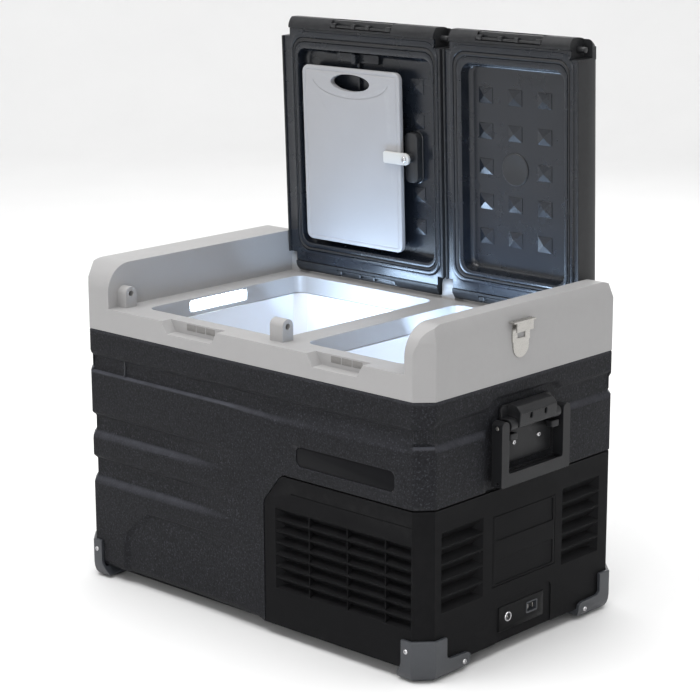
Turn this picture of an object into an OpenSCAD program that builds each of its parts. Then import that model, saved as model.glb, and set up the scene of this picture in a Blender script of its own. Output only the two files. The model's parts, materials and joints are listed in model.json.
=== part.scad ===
// Two-zone compressor cooler fridge, millimetres, +Z up.
// The origin is on the ground, below the centre of the cabinet. The front face looks to -Y.
// The lids are drawn closed and then swung open on their rear pins, which is how the fridge rests.

/* [Cabinet] */
// Length of the cabinet between its two end faces
body_l = 650; // [646:1:656]
// Width of the cabinet from its front face to its rear face
body_w = 408; // [406:1:412]
// Size of the flat cut on each upright corner
corner_cut = 21; // [16:1:24]
// Height of the cabinet's underside above the ground
ground_gap = 17; // [14:1:18]
// Height of the seam between the machine cover and the shell
cover_seam_z = 231; // [228:1:233]
// Height of the seam between the shell and the top frame
frame_seam_z = 370; // [368:1:371]
// Height of the deck that the lids close on
deck_z = 404; // [402:1:408]
// Height of the two raised end caps
cap_top_z = 466; // [460:1:470]
// Wall thickness of the shell
shell_t = 8; // [7:0.5:9]
// Depth of the grooves pressed into the shell
groove_d = 4.5; // [2:0.5:5]

/* [Compartments] */
// Left side of the large compartment
large_x0 = -226; // [-230:1:-222]
// Right side of the large compartment
large_x1 = 41; // [40:1:42]
// Left side of the small compartment
small_x0 = 82; // [81:1:83]
// Right side of the small compartment
small_x1 = 258; // [254:1:260]
// Front side of both compartments
mouth_y0 = -164; // [-165:1:-163]
// Rear side of both compartments
mouth_y1 = 145; // [143:1:147]
// Height of the floor inside the large compartment
large_floor_z = 66; // [60:1:90]
// Height of the floor inside the small compartment
small_floor_z = 262; // [260:1:280]

/* [Lids] */
// Distance of the lid pins from the middle of the cabinet, front and rear
pin_y = 175; // [174:0.5:176]
// Height of the lid pins above the deck
pin_h = 20; // [19:0.5:21]
// Radius of the lid pins
pin_r = 4; // [3.5:0.1:4.2]
// Angle that a lid opens to, from closed
lid_angle = 88; // [80:1:90]
// Half of a lid's depth from front to rear
lid_half = 191; // [190:0.5:192]
// Thickness of a lid
lid_t = 48; // [44:1:50]
// Distance that a lid pin draws back
pin_travel = 14; // [13.5:0.1:14.5]
// Distance that a latch bar lifts
latch_travel = 6; // [5:0.5:7]

/* [Carry handles] */
// Outside width of a carry handle
handle_w = 143; // [138:1:150]
// Height of a carry handle's pivot above the ground
handle_pivot_z = 316; // [314:1:320]
// Lowest edge of a hanging carry handle
handle_low_z = 237; // [236:1:242]
// Thickness of a carry handle
handle_t = 18; // [16:1:19]
// Offset of both carry handles from the middle of the end face
handle_y = -4; // [-6:1:4]

/* [Hidden] */
$fn = 48;
e = 1;                      // cutters pass this far through a face
half_l = body_l / 2;
half_w = body_w / 2;
seam = 0.4;                 // gap left at a seam between two mouldings
run = 0.05;                 // radial clearance of a pin in its bore

frame_t = 4;                // wall of the top frame
cap_left_x = -262;          // inner face of the left end cap
cap_right_x = 290;          // inner face of the right end cap
cap_round = 40;             // radius over the front and rear of each end cap
slope_z = 444;              // the outside of a cap leans in above this height
slope_in = 8;               // by this much at its top
skirt_z = deck_z - 26;      // lower edge of the frame's skirt in each mouth
mouth_r = 16;               // corner radius of the mouths
pin_z = deck_z + pin_h;
boss_w = 20;                // depth of a pin boss
boss_h = pin_h + 10;        // height of a pin boss, rounded about the pin
boss_left = [cap_left_x - e, cap_left_x + 16];
boss_mid = [38, 62];
boss_right = [cap_right_x - 16, cap_right_x + e];
recess_d = 17;              // depth of the finger recesses in the rail
recess_h = 17;
recess_ramp = 11;           // length of a recess's sloped ends
recess_left = [-152, -44];
recess_right = [123, 221];

panel_x0 = 41;              // left edge of the machine cover's front
panel_cut_x = 75;           // where its sloped corner reaches the seam
panel_cut_z = 189;
cover_t = 4;
cover_inset = 1;
room_roof_z = cover_seam_z + 6;
louvre_x = [[62, 122], [126, 190], [194, 256], [260, 300]];
louvre_z0 = 73;
louvre_pitch = 16.3;
louvre_rows = 7;
louvre_h = 9;
end_louvre_y = [[-170, -87], [80, 162]];
end_louvre_z0 = 96;
end_louvre_pitch = 22;
end_louvre_rows = 5;

door_y = [-67, 64];
door_z = [97, 193];
door_t = 3;
door_axis_x = half_l - cover_inset - door_t / 2;
door_axis_y = door_y[0] + door_t / 2;
door_pin_r = 0.9;
socket_y = [-53, 42];
socket_z = [30, 65];
dc_y = -33;
dc_z = 48;
dc_r = 5;
aux_y = 17;
aux_z = 49;
aux_w = 22;
aux_h = 12;

panel_rear_x = [70, 220];   // control panel on the rear face
panel_rear_z = [252, 302];
button_r = 6;
button_x = [150, 168, 186, 204];
button_z = 277;

lid_z0 = deck_z + 1;
lid_z1 = lid_z0 + lid_t;
lid_wall = 3;
lid_left_x = [-259, 47.5];
lid_right_x = [52.5, 287];
rim_h = 0.6;                // the ridge round a lid's well stands this far below the lid
well_depth = 18.6;          // from the ridge to the floor of the well
left_well = [large_x0 - 2, large_x1 - 9];
right_well = [small_x0 + 3, small_x1 + 5];
well_y = [mouth_y0 + 17, mouth_y1];
well_r = 16;
left_rim = [-12, 10];       // how far the ridge reaches past the well's two sides
right_rim = [-21, 15];
rim_y = [-24, 17];          // and past its front and rear
seal_w = 4;
well_floor_z = lid_z0 - rim_h + well_depth;
notch_gap = 2;              // a lid clears the bosses by this much
sweep_r = pin_h - 0.6;      // a lid's edge turns inside this radius, clear of the deck
latch_left = [-160, -44];
latch_right = [112, 224];
latch_in = 12;              // depth of a latch bar
latch_h = 14;
guide_l = 30;               // length of a pin's guide inside the lid

board_x = [-215, -25];
board_y = [-124, 136];
board_t = 8;
board_z = 401;              // face of the cutting board, with its lid closed
clip_x = -14;               // the clip swivels here
clip_y = -3;
clip_l = 46;
clip_w = 17;
disc_x = 166;
disc_y = -3;
disc_r = 23;

handle_arm = 17;
handle_bar = 17;
handle_x = half_l + 1.5;    // inner face of a hanging handle
pivot_x = handle_x + handle_t / 2;
pivot_r = 4;
knuckle_r = 12;
bracket_w = 76;

fan_x = 205;
fan_z = 118;
fan_y = -140;
fan_r = 46;
compressor_x = 125;
compressor_y = 30;
compressor_r = 52;

// ---- shared shapes ----

// Plan of the cabinet, drawn in from its outside by an inset
module plan(inset) {
    l = half_l - inset;
    w = half_w - inset;
    c = corner_cut - inset * (2 - sqrt(2));
    polygon([[-l + c, -w], [l - c, -w], [l, -w + c], [l, w - c],
        [l - c, w], [-l + c, w], [-l, w - c], [-l, -w + c]]);
}

module cabinet_prism(z0, z1, inset) {
    translate([0, 0, z0]) linear_extrude(z1 - z0) plan(inset);
}

module block(x, y, z) {
    translate([x[0], y[0], z[0]]) cube([x[1] - x[0], y[1] - y[0], z[1] - z[0]]);
}

// Upright block with round corners
module round_block(x, y, z, r) {
    for (dx = [x[0] + r, x[1] - r], dy = [y[0] + r, y[1] - r])
        translate([dx, dy, z[0]]) cylinder(r = r, h = z[1] - z[0]);
    block([x[0] + r, x[1] - r], y, z);
    block(x, [y[0] + r, y[1] - r], z);
}

module rod_x(x, y, z, r) {
    translate([x[0], y, z]) rotate([0, 90, 0]) cylinder(r = r, h = x[1] - x[0]);
}

module rod_y(x, y, z, r) {
    translate([x, y[0], z]) rotate([-90, 0, 0]) cylinder(r = r, h = y[1] - y[0]);
}

module rod_z(x, y, z, r) {
    translate([x, y, z[0]]) cylinder(r = r, h = z[1] - z[0]);
}

// Outline in X and Z, carried through a span of Y
module side_profile(points, y) {
    translate([0, y[1], 0]) rotate([90, 0, 0]) linear_extrude(y[1] - y[0]) polygon(points);
}

// The lower right corner of the cabinet, which the machine cover closes
module machine_region(gap) {
    side_profile([[panel_x0 + gap, -e], [panel_x0 + gap, panel_cut_z - gap / 2],
        [panel_cut_x + gap / 2, cover_seam_z - gap], [half_l + 9, cover_seam_z - gap],
        [half_l + 9, -e]], [-half_w - 9, half_w + 9]);
}

// ---- cabinet ----

module groove(z, x1) {
    for (s = [-1, 1])
        block([-half_l - e, x1], s > 0 ? [half_w - groove_d, half_w + e]
            : [-half_w - e, -half_w + groove_d], z);
}

// Trapezoid pressed into an end of the shell, behind a carry handle
module handle_relief(side) {
    w = handle_w / 2 + 9;
    translate([side * (half_l + e / 2), handle_y, 0]) rotate([90, 0, 90])
        linear_extrude(2 * 3 + e, center = true)
            polygon([[-w, cover_seam_z - 20], [w, cover_seam_z - 20], [w, 335],
                [w - 14, 351], [-w + 14, 351], [-w, 335]]);
}

module outer_shell() {
    color("#38393c") difference() {
        cabinet_prism(ground_gap, frame_seam_z, 0);
        cabinet_prism(ground_gap - e, frame_seam_z + e, shell_t);
        machine_region(0);
        groove([308, 334], half_l + e);
        groove([219, 246], -20);
        groove([152, 182], -20);
        for (s = [-1, 1]) {
            block(s > 0 ? [half_l - groove_d, half_l + e] : [-half_l - e, -half_l + groove_d],
                [-half_w, half_w], [313, 338]);
            handle_relief(s);
        }
        block(panel_rear_x, [half_w - shell_t - e, half_w + e], panel_rear_z);
        block([101, 276], [-half_w - e, -half_w + 3], [246, 277]);
    }
}

module badge_plate() {
    color("#5a5b5f") block([103, 274], [-half_w + 0.5, -half_w + 3], [248, 275]);
}

// Cap over one end, hollow from below, with its front and rear rounded over
module cap_outline(inset) {
    r = cap_round - inset;
    w = half_w - inset;
    top = cap_top_z - inset;
    rotate([90, 0, 90]) linear_extrude(body_l + 2 * e, center = true) union() {
        translate([-w, frame_seam_z - e]) square([2 * w, top - r - frame_seam_z + e]);
        translate([-w + r, frame_seam_z]) square([2 * (w - r), top - frame_seam_z]);
        for (s = [-1, 1]) translate([s * (w - r), top - r]) circle(r, $fn = 96);
    }
}

// What the sloped band takes off one face or one corner, at a distance from the middle
module slope_cut(angle, distance) {
    rotate([0, 0, angle])
        side_profile([[distance, slope_z], [distance - slope_in, cap_top_z + e],
            [distance + 9, cap_top_z + e], [distance + 9, slope_z]], [-half_w, half_w]);
}

module cap_solid(x, z0, inset) {
    corner = (half_l + half_w - corner_cut) / sqrt(2);
    difference() {
        intersection() {
            cabinet_prism(z0, cap_top_z - inset, inset);
            cap_outline(inset);
            block(x, [-half_w, half_w], [z0, cap_top_z]);
        }
        for (a = [0, 180]) slope_cut(a, half_l - inset);
        for (a = [45, 135, 225, 315]) slope_cut(a, corner - inset);
    }
}

module end_cap(x) {
    hollow = x[0] > 0 ? [x[0] + frame_t, x[1]] : [x[0], x[1] - frame_t];
    difference() {
        cap_solid(x, frame_seam_z + seam, 0);
        cap_solid(hollow, frame_seam_z - e, frame_t);
    }
}

module boss(x, y) {
    block(x, [y - boss_w / 2, y + boss_w / 2], [deck_z - frame_t, deck_z + boss_h - boss_w / 2]);
    rod_x(x, y, deck_z + boss_h - boss_w / 2, boss_w / 2);
}

// Finger recess in the rail: a trapezoid, open at the top
module recess(x, y, grow) {
    side_profile([[x[0] - grow, deck_z + e], [x[0] - grow, deck_z - grow],
        [x[0] + recess_ramp - grow, deck_z - recess_h - grow], [x[1] - recess_ramp + grow, deck_z - recess_h - grow],
        [x[1] + grow, deck_z - grow], [x[1] + grow, deck_z + e]], y);
}

module recess_pair(depth, grow, over) {
    for (x = [recess_left, recess_right]) {
        recess(x, [-half_w - over, -half_w + depth], grow);
        recess(x, [half_w - depth, half_w + over], grow);
    }
}

module top_frame() {
    mouths = [[large_x0, large_x1], [small_x0, small_x1]];
    color("#b9b6b0") difference() {
        union() {
            difference() {
                cabinet_prism(frame_seam_z + seam, deck_z, 0);
                cabinet_prism(frame_seam_z - e, deck_z - frame_t, frame_t);
            }
            end_cap([-half_l, cap_left_x]);
            end_cap([cap_right_x, half_l]);
            for (x = mouths)
                round_block([x[0] - 3, x[1] + 3], [mouth_y0 - 3, mouth_y1 + 3],
                    [skirt_z, deck_z - 1], mouth_r + 3);
            for (x = [boss_left, boss_mid, boss_right], s = [-1, 1]) boss(x, s * pin_y);
            intersection() {
                recess_pair(recess_d + 3, 3, 0);
                cabinet_prism(frame_seam_z + seam, deck_z, 0);
            }
        }
        for (x = mouths)
            round_block(x, [mouth_y0, mouth_y1], [skirt_z - e, deck_z + e], mouth_r);
        recess_pair(recess_d, 0, e);
        for (x = [boss_left, boss_mid, boss_right], s = [-1, 1])
            rod_x([x[0] + (x == boss_left ? e : -e), x[1] + (x == boss_right ? -e : e)],
                s * pin_y, pin_z, pin_r + run);
        block([large_x0 - 3 - e, large_x0 + e], [-81, 33], [384, 401]);
    }
}

module machine_cover() {
    inset = cover_inset + cover_t;
    color("#1d1e20") difference() {
        intersection() {
            cabinet_prism(ground_gap, cover_seam_z, cover_inset);
            machine_region(seam);
        }
        cabinet_prism(ground_gap - e, cover_seam_z + e, inset);
        for (i = [0:louvre_rows - 1], x = louvre_x, s = [-1, 1])
            block(x, s < 0 ? [-half_w - e, -half_w + inset + e]
                : [half_w - inset - e, half_w + e],
                [louvre_z0 + i * louvre_pitch, louvre_z0 + i * louvre_pitch + louvre_h]);
        for (i = [0:end_louvre_rows - 1], y = end_louvre_y)
            block([half_l - inset - e, half_l + e], y,
                [end_louvre_z0 + i * end_louvre_pitch, end_louvre_z0 + i * end_louvre_pitch + louvre_h]);
        block([half_l - inset - e, half_l + e], [door_y[0] - 1, door_y[1] + 1],
            [door_z[0] - 1, door_z[1] + 1]);
        rod_z(door_axis_x, door_axis_y, [door_z[0] - 3, door_z[1] + 3], door_pin_r + run);
        block([half_l - inset - e, half_l + e], socket_y, socket_z);
    }
}

module bottom_tray() {
    color("#27282a") cabinet_prism(ground_gap, ground_gap + 4, shell_t + 0.5);
}

// Guard that wraps one lower corner and stands proud of it, with its foot
module corner_protector() {
    arm_x = half_l - 285 + 4;
    arm_y = half_w - 163 + 4;
    difference() {
        intersection() {
            cabinet_prism(0, 72, -4);
            union() {
                block([half_l - arm_x, half_l + 9], [-half_w - 9, -half_w + arm_y], [0, 56]);
                block([half_l - arm_x, half_l + 9], [-half_w - 9, -half_w + 88], [0, 30]);
            }
        }
        cabinet_prism(ground_gap, 80, 0);
    }
}

module corner_protectors() {
    color("#45494e") for (mx = [0, 1], my = [0, 1])
        mirror([mx, 0, 0]) mirror([0, my, 0]) corner_protector();
}

module protector_screws() {
    color("#d5d6d8") for (mx = [0, 1], my = [0, 1]) mirror([mx, 0, 0]) mirror([0, my, 0]) {
        rod_y(297, [-half_w - 5.6, -half_w - 4], 44, 3.6);
        rod_x([half_l + 4, half_l + 5.6], -127, 22, 3.6);
    }
}

// ---- compartments and insulation ----

module tub(x, floor_z, grow) {
    round_block([x[0] - grow, x[1] + grow], [mouth_y0 - grow, mouth_y1 + grow],
        [floor_z - grow, skirt_z - 0.3], mouth_r + grow);
}

module liner(x, floor_z) {
    inner = [x[0] + 2, x[1] - 2];
    difference() {
        tub(x, floor_z, 1);
        round_block(inner, [mouth_y0 + 2, mouth_y1 - 2], [floor_z + 2, skirt_z + e], mouth_r);
    }
}

module liner_large() {
    color("#eef0f3") liner([large_x0, large_x1], large_floor_z);
}

module liner_small() {
    color("#eef0f3") liner([small_x0, small_x1], small_floor_z);
}

module insulation() {
    color("#e6dfc4") difference() {
        cabinet_prism(ground_gap + 4.5, frame_seam_z - 0.3, shell_t + 0.5);
        block([panel_x0 - 8, half_l], [-half_w, half_w], [0, room_roof_z]);
        tub([large_x0, large_x1], large_floor_z, 6);
        tub([small_x0, small_x1], small_floor_z, 6);
        block([panel_rear_x[0] - 3, panel_rear_x[1] + 3], [half_w - 36, half_w],
            [panel_rear_z[0] - 3, panel_rear_z[1] + 3]);
    }
}

// Wound tube round each liner, between it and the insulation
module evaporator_coils() {
    color("#b98b52")
        for (t = [[large_x0, large_x1, 110, 5], [small_x0, small_x1, 275, 3]], i = [0:t[3] - 1])
            difference() {
                z = t[2] + 30 * i;
                round_block([t[0] - 5, t[1] + 5], [mouth_y0 - 5, mouth_y1 + 5], [z, z + 4],
                    mouth_r + 5);
                round_block([t[0] - 1.5, t[1] + 1.5], [mouth_y0 - 1.5, mouth_y1 + 1.5],
                    [z - e, z + 5], mouth_r + 1.5);
            }
}

// ---- machine room ----

module compressor() {
    color("#222326") translate([compressor_x, compressor_y, 0]) {
        rotate_extrude() union() {
            translate([0, 60]) square([compressor_r, 92]);
            intersection() {
                translate([0, 152 - 25]) scale([1, 1]) circle(r = 58, $fn = 96);
                translate([0, 152]) square([compressor_r, 60]);
            }
            intersection() {
                translate([0, 60 + 25]) circle(r = 58, $fn = 96);
                translate([0, 20]) square([compressor_r, 40]);
            }
        }
        for (s = [-1, 1]) block([-58, 58], [s * 34 - 9, s * 34 + 9], [40, 43]);
        block([compressor_r - 6, compressor_r + 16], [-22, 22], [90, 134]);
    }
}

module compressor_mounts() {
    color("#1a1a1a") for (sx = [-50, 50], sy = [-34, 34])
        rod_z(compressor_x + sx, compressor_y + sy, [ground_gap + 4, 40], 8);
}

module condenser() {
    fins = 15;
    color("#9ea2a6") {
        for (i = [0:fins - 1])
            block([100 + i * 14, 101 + i * 14], [-190, -168], [44, 196]);
        for (z = [60:24:180]) rod_x([96, 300], -179, z, 4);
    }
}

module fan_shroud() {
    color("#2a2b2d") difference() {
        block([fan_x - 56, fan_x + 56], [fan_y - 14, fan_y + 14], [fan_z - 56, fan_z + 56]);
        rod_y(fan_x, [fan_y - 14 - e, fan_y + 8], fan_z, fan_r + 3);
        for (a = [45:90:315]) translate([fan_x, 0, fan_z]) rotate([0, a, 0])
            block([14, fan_r], [fan_y, fan_y + 14 + e], [-11, 11]);
        rod_y(fan_x, [fan_y, fan_y + 14 + e], fan_z, 3 + run);
    }
}

module fan_rotor() {
    color("#35373a") {
        rod_y(fan_x, [fan_y - 9, fan_y + 5], fan_z, 18);
        rod_y(fan_x, [fan_y, fan_y + 14], fan_z, 3);
        for (a = [0:360 / 7:359])
            translate([fan_x, fan_y - 2, fan_z]) rotate([0, a, 0]) rotate([32, 0, 0])
                block([14, fan_r - 1], [-1, 1], [-8, 8]);
    }
}

module control_board() {
    color("#1f6b3a") block([90, 250], [172, 174], [50, 170]);
    color("#222222") for (i = [0:3]) block([104 + 36 * i, 126 + 36 * i], [160, 172], [70, 96]);
    color("#8a8c90") rod_z(150, 164, [110, 140], 7.9);
}

module refrigerant_pipes() {
    color("#c07a45") {
        rod_z(compressor_x - 30, compressor_y - 20, [172, 205], 3);
        rod_y(compressor_x - 30, [-179, compressor_y - 20], 205, 3);
        translate([compressor_x - 30, compressor_y - 20, 205]) sphere(3);
        translate([compressor_x - 30, -179, 205]) sphere(3);
        rod_z(compressor_x - 30, -179, [184, 205], 3);
        rod_z(compressor_x + 10, compressor_y + 38, [168, 222], 3);
    }
}

module battery_bay() {
    color("#2b2c2f") difference() {
        block([196, 319.5], [door_y[0] - 3, door_y[1] + 3], [door_z[0] - 3, door_z[1] + 3]);
        block([198, 321], [door_y[0] - 1, door_y[1] + 1], [door_z[0] - 1, door_z[1] + 1]);
    }
}

// Its round hinge edge carries two stub pins that turn in the machine cover
module battery_door() {
    x = half_l - cover_inset;
    color("#1b1c1e") difference() {
        union() {
            block([x - door_t, x], [door_axis_y, door_y[1]], door_z);
            rod_z(door_axis_x, door_axis_y, door_z, door_t / 2);
            rod_z(door_axis_x, door_axis_y, [door_z[0] - 2.6, door_z[1] + 2.6], door_pin_r);
        }
        for (z = [134, 158]) block([x - 1, x + e], [door_y[0] + 8, door_y[1] - 8], [z, z + 1.2]);
    }
}

module socket_plate() {
    x = half_l - cover_inset;
    color("#0e0e0f") difference() {
        block([x - 3, x + 0.5], [socket_y[0] + 0.3, socket_y[1] - 0.3],
            [socket_z[0] + 0.3, socket_z[1] - 0.3]);
        rod_x([x - 3 - e, x + e + 0.5], dc_y, dc_z, 9);
        block([x - 3 - e, x + e + 0.5], [aux_y - aux_w / 2 - 2, aux_y + aux_w / 2 + 2],
            [aux_z - aux_h / 2 - 2, aux_z + aux_h / 2 + 2]);
    }
}

module power_sockets() {
    x = half_l - cover_inset;
    color("#3b3c3f") {
        difference() {
            union() {
                rod_x([x - 24, x], dc_y, dc_z, 8.8);
                rod_x([x, x + 1.5], dc_y, dc_z, 7.5);
            }
            rod_x([x - 18, x + 2 + e], dc_y, dc_z, dc_r);
        }
        difference() {
            block([x - 24, x + 0.5], [aux_y - aux_w / 2 - 1.8, aux_y + aux_w / 2 + 1.8],
                [aux_z - aux_h / 2 - 1.8, aux_z + aux_h / 2 + 1.8]);
            block([x - 18, x + 2], [aux_y - aux_w / 2, aux_y + aux_w / 2],
                [aux_z - aux_h / 2, aux_z + aux_h / 2]);
        }
    }
}

// ---- control panel, lamp and opener ----

module control_panel() {
    color("#151617") difference() {
        block([panel_rear_x[0] + 0.3, panel_rear_x[1] - 0.3], [half_w - 16, half_w + 0.5],
            [panel_rear_z[0] + 0.3, panel_rear_z[1] - 0.3]);
        block([82, 138], [half_w - 3, half_w + e], [262, 292]);
        for (x = button_x) rod_y(x, [half_w - 7, half_w + e], button_z, button_r + 0.3);
    }
}

module display_window() {
    color("#0b0d12") block([82.3, 137.7], [half_w - 3, half_w], [262.3, 291.7]);
}

module button(x) {
    color("#3d4044") rod_y(x, [half_w - 5, half_w + 2], button_z, button_r);
}

module led_lamp() {
    color("#ffffff") block([large_x0 - 2.6, large_x0 + 0.6], [-80, 32], [385, 400]);
}

module bottle_opener() {
    color("#a9a7a2") difference() {
        union() {
            block([half_l, half_l + 1.6], [-36, 0], [420, 446]);
            block([half_l, half_l + 1.6], [-34, -2], [412, 421]);
            rod_x([half_l, half_l + 1.6], -18, 414, 16);
            block([half_l, half_l + 9], [-42, 3], [446, 448]);
            block([half_l + 7, half_l + 9], [-36, -2], [434, 447]);
        }
        block([half_l - e, half_l + 3], [-26, -10], [424, 438]);
    }
}

// ---- carry handles ----

// Drawn for the right end: a U that hangs from two knuckles
module carry_handle() {
    w = handle_w / 2;
    x = [handle_x, handle_x + handle_t];
    translate([0, handle_y, 0]) difference() {
        union() {
            for (s = [-1, 1]) {
                y = s > 0 ? [w - handle_arm, w] : [-w, -w + handle_arm];
                block(x, y, [handle_low_z, handle_pivot_z]);
                rod_y(pivot_x, [y[0], y[1]], handle_pivot_z, handle_t / 2);
            }
            block(x, [-w, w], [handle_low_z, handle_low_z + handle_bar]);
            rod_y(pivot_x + 2, [-w + 6, w - 6], handle_low_z + handle_bar - 3, 7);
        }
        rod_y(pivot_x, [-w - e, w + e], handle_pivot_z, pivot_r + run);
    }
}

// Fixed block between the knuckles, on a base plate that is screwed to the shell
module bracket() {
    w = bracket_w / 2;
    translate([0, handle_y, 0]) difference() {
        union() {
            block([half_l - 2.8, half_l + 22], [-w, w], [handle_pivot_z - 5, handle_pivot_z + 22]);
            block([half_l - 2.8, half_l + 1], [-52, 52], [262, handle_pivot_z + 22]);
            for (s = [-1, 1]) {
                y = s > 0 ? [w - e, 52] : [-52, -w + e];
                block([half_l, pivot_x], y, [handle_pivot_z - 8, handle_pivot_z + 8]);
                rod_y(pivot_x, y, handle_pivot_z, 8);
            }
        }
        rod_y(pivot_x, [-60, 60], handle_pivot_z, pivot_r);
        for (y = [-15, 15])
            rod_x([half_l + 15, half_l + 23], y, handle_pivot_z + 9, 2.5);
    }
}

module at_both_ends() {
    children();
    mirror([1, 0, 0]) children();
}

module handle_right() {
    color("#2c2d30") carry_handle();
}

module handle_left() {
    color("#2c2d30") mirror([1, 0, 0]) carry_handle();
}

module handle_brackets() {
    color("#242527") at_both_ends() bracket();
}

module handle_pins() {
    color("#8d8f92") at_both_ends() for (s = [-1, 1])
        rod_y(pivot_x, s > 0 ? [handle_y + 20, handle_y + handle_w / 2 + 1]
            : [handle_y - handle_w / 2 - 1, handle_y - 20], handle_pivot_z, pivot_r);
}

module handle_screws() {
    color("#d8d9db") at_both_ends() for (y = [-26, 26])
        rod_x([half_l + 1, half_l + 3], handle_y + y, 287, 4);
}

// ---- lids, drawn closed ----

module opened() {
    translate([0, pin_y, pin_z]) rotate([-lid_angle, 0, 0]) translate([0, -pin_y, -pin_z])
        children();
}

// The spaces in a lid's corners that clear the bosses, open to the lid's edge
module notches(x, depth, grow) {
    y0 = pin_y - boss_w / 2 - notch_gap - grow;
    for (s = [-1, 1], side = [0, 1]) {
        px = side == 0 ? [x[0] - e, x[0] + depth[0] + grow] : [x[1] - depth[1] - grow, x[1] + e];
        block(px, s < 0 ? [-lid_half - e, -y0] : [y0, lid_half + e],
            [lid_z0 - e, deck_z + boss_h + notch_gap + 1 + grow]);
    }
}

// Rounds a lid's lower edge about its pins, so that it turns clear of the deck
module edge_sweep(x) {
    for (s = [-1, 1]) difference() {
        block([x[0] - e, x[1] + e], s < 0 ? [-lid_half - e, -pin_y] : [pin_y, lid_half + e],
            [lid_z0 - e, pin_z]);
        rod_x([x[0] - 2 * e, x[1] + 2 * e], s * pin_y, pin_z, sweep_r);
    }
}

// Sizes of the notches at the two ends of each lid
function notch_depth(x) = x == lid_left_x ? [15, 11.5] : [11.5, 15];

// Where the four pins leave the notches
function pin_faces(x) = [x[0] + notch_depth(x)[0], x[1] - notch_depth(x)[1]];

module pin_guides(x) {
    f = pin_faces(x);
    for (s = [-1, 1]) {
        block([f[0], f[0] + guide_l], [s * pin_y - 12, s * pin_y + 12],
            [lid_z0 + 6, lid_z1 - lid_wall]);
        block([f[1] - guide_l, f[1]], [s * pin_y - 12, s * pin_y + 12],
            [lid_z0 + 6, lid_z1 - lid_wall]);
    }
}

module latch_space(x, grow) {
    for (s = [-1, 1])
        block([x[0] - grow, x[1] + grow],
            s < 0 ? [-lid_half - e, -lid_half + latch_in + grow]
                : [lid_half - latch_in - grow, lid_half + e],
            [lid_z0 - e, lid_z0 + latch_h + latch_travel + 0.6 + grow]);
}

module lid_shell(x, latch) {
    f = pin_faces(x);
    difference() {
        union() {
            difference() {
                block(x, [-lid_half, lid_half], [lid_z0, lid_z1 - 2]);
                block([x[0] + lid_wall, x[1] - lid_wall], [-lid_half + lid_wall, lid_half - lid_wall],
                    [lid_z0 - e, lid_z1 - 2 - lid_wall]);
            }
            round_block([x[0] + 18, x[1] - 18], [-lid_half + 26, lid_half - 26],
                [lid_z1 - 2 - lid_wall, lid_z1], 14);
            pin_guides(x);
            intersection() {
                latch_space(latch, 2);
                block(x, [-lid_half, lid_half], [lid_z0 + 4, lid_z1 - 4]);
            }
            intersection() {
                notches(x, notch_depth(x), 2);
                block(x, [-lid_half, lid_half], [lid_z0 + 4, lid_z1 - 4]);
            }
        }
        notches(x, notch_depth(x), 0);
        edge_sweep(x);
        latch_space(latch, 0);
        for (s = [-1, 1])
            rod_x([f[0] - e, f[0] + guide_l + e], s * pin_y, pin_z, pin_r + run);
        for (s = [-1, 1])
            rod_x([f[1] - guide_l - e, f[1] + e], s * pin_y, pin_z, pin_r + run);
    }
}

// Ring that carries a lid's seal, midway along the ridge round the well
module seal_ring(well, rim, z, w) {
    x = [well[0] + rim[0] / 2, well[1] + rim[1] / 2];
    y = [well_y[0] + rim_y[0] / 2, well_y[1] + rim_y[1] / 2];
    difference() {
        round_block([x[0] - w / 2, x[1] + w / 2], [y[0] - w / 2, y[1] + w / 2], z, well_r + 2);
        round_block([x[0] + w / 2, x[1] - w / 2], [y[0] + w / 2, y[1] - w / 2],
            [z[0] - e, z[1] + e], well_r - 2);
    }
}

module lid_liner(x, latch, well, rim) {
    inner = [x[0] + lid_wall + 0.2, x[1] - lid_wall - 0.2];
    y = [-lid_half + lid_wall + 0.2, lid_half - lid_wall - 0.2];
    difference() {
        union() {
            block(inner, y, [lid_z0, lid_z0 + 3.5]);
            round_block(well + rim, well_y + rim_y, [lid_z0 - rim_h, lid_z0 + 1], well_r + 4);
            round_block(well + [-2.5, 2.5], well_y + [-2.5, 2.5],
                [lid_z0, well_floor_z + 3], well_r + 2);
        }
        round_block(well, well_y, [lid_z0 - 2 * e, well_floor_z], well_r);
        seal_ring(well, rim, [lid_z0 - 2 * e, lid_z0 + 2], seal_w + 1);
        notches(x, notch_depth(x), 0.4);
        edge_sweep(x);
        latch_space(latch, 2.4);
    }
}

module lid_pads(xs) {
    for (x = xs, i = [-2:2])
        block([x - 12, x + 12], [disc_y + 49.5 * i - 11, disc_y + 49.5 * i + 11],
            [well_floor_z - 4, well_floor_z + e]);
}

module lid_gasket(x, well, rim) {
    difference() {
        seal_ring(well, rim, [lid_z0 - rim_h - 0.2, lid_z0 + 1.8], seal_w);
        notches(x, notch_depth(x), 0.4);
    }
}

module lid_foam(well) {
    block(well + [3, -3], well_y + [3, -3], [well_floor_z + 3.3, lid_z1 - lid_wall - 2.5]);
}

module lid_left_shell() {
    color("#2b2c2f") opened() lid_shell(lid_left_x, latch_left);
}

module lid_right_shell() {
    color("#2b2c2f") opened() lid_shell(lid_right_x, latch_right);
}

module lid_left_liner() {
    color("#303338") opened() {
        lid_liner(lid_left_x, latch_left, left_well, left_rim);
        block([clip_x - 10, clip_x + 12], [clip_y - 35, clip_y + 35], [board_z, well_floor_z + e]);
        for (x = [board_x[0] + 20, board_x[1] - 40], y = [board_y[0] + 20, board_y[1] - 20])
            rod_z(x, y, [board_z + board_t, well_floor_z + e], 8);
    }
}

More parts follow.
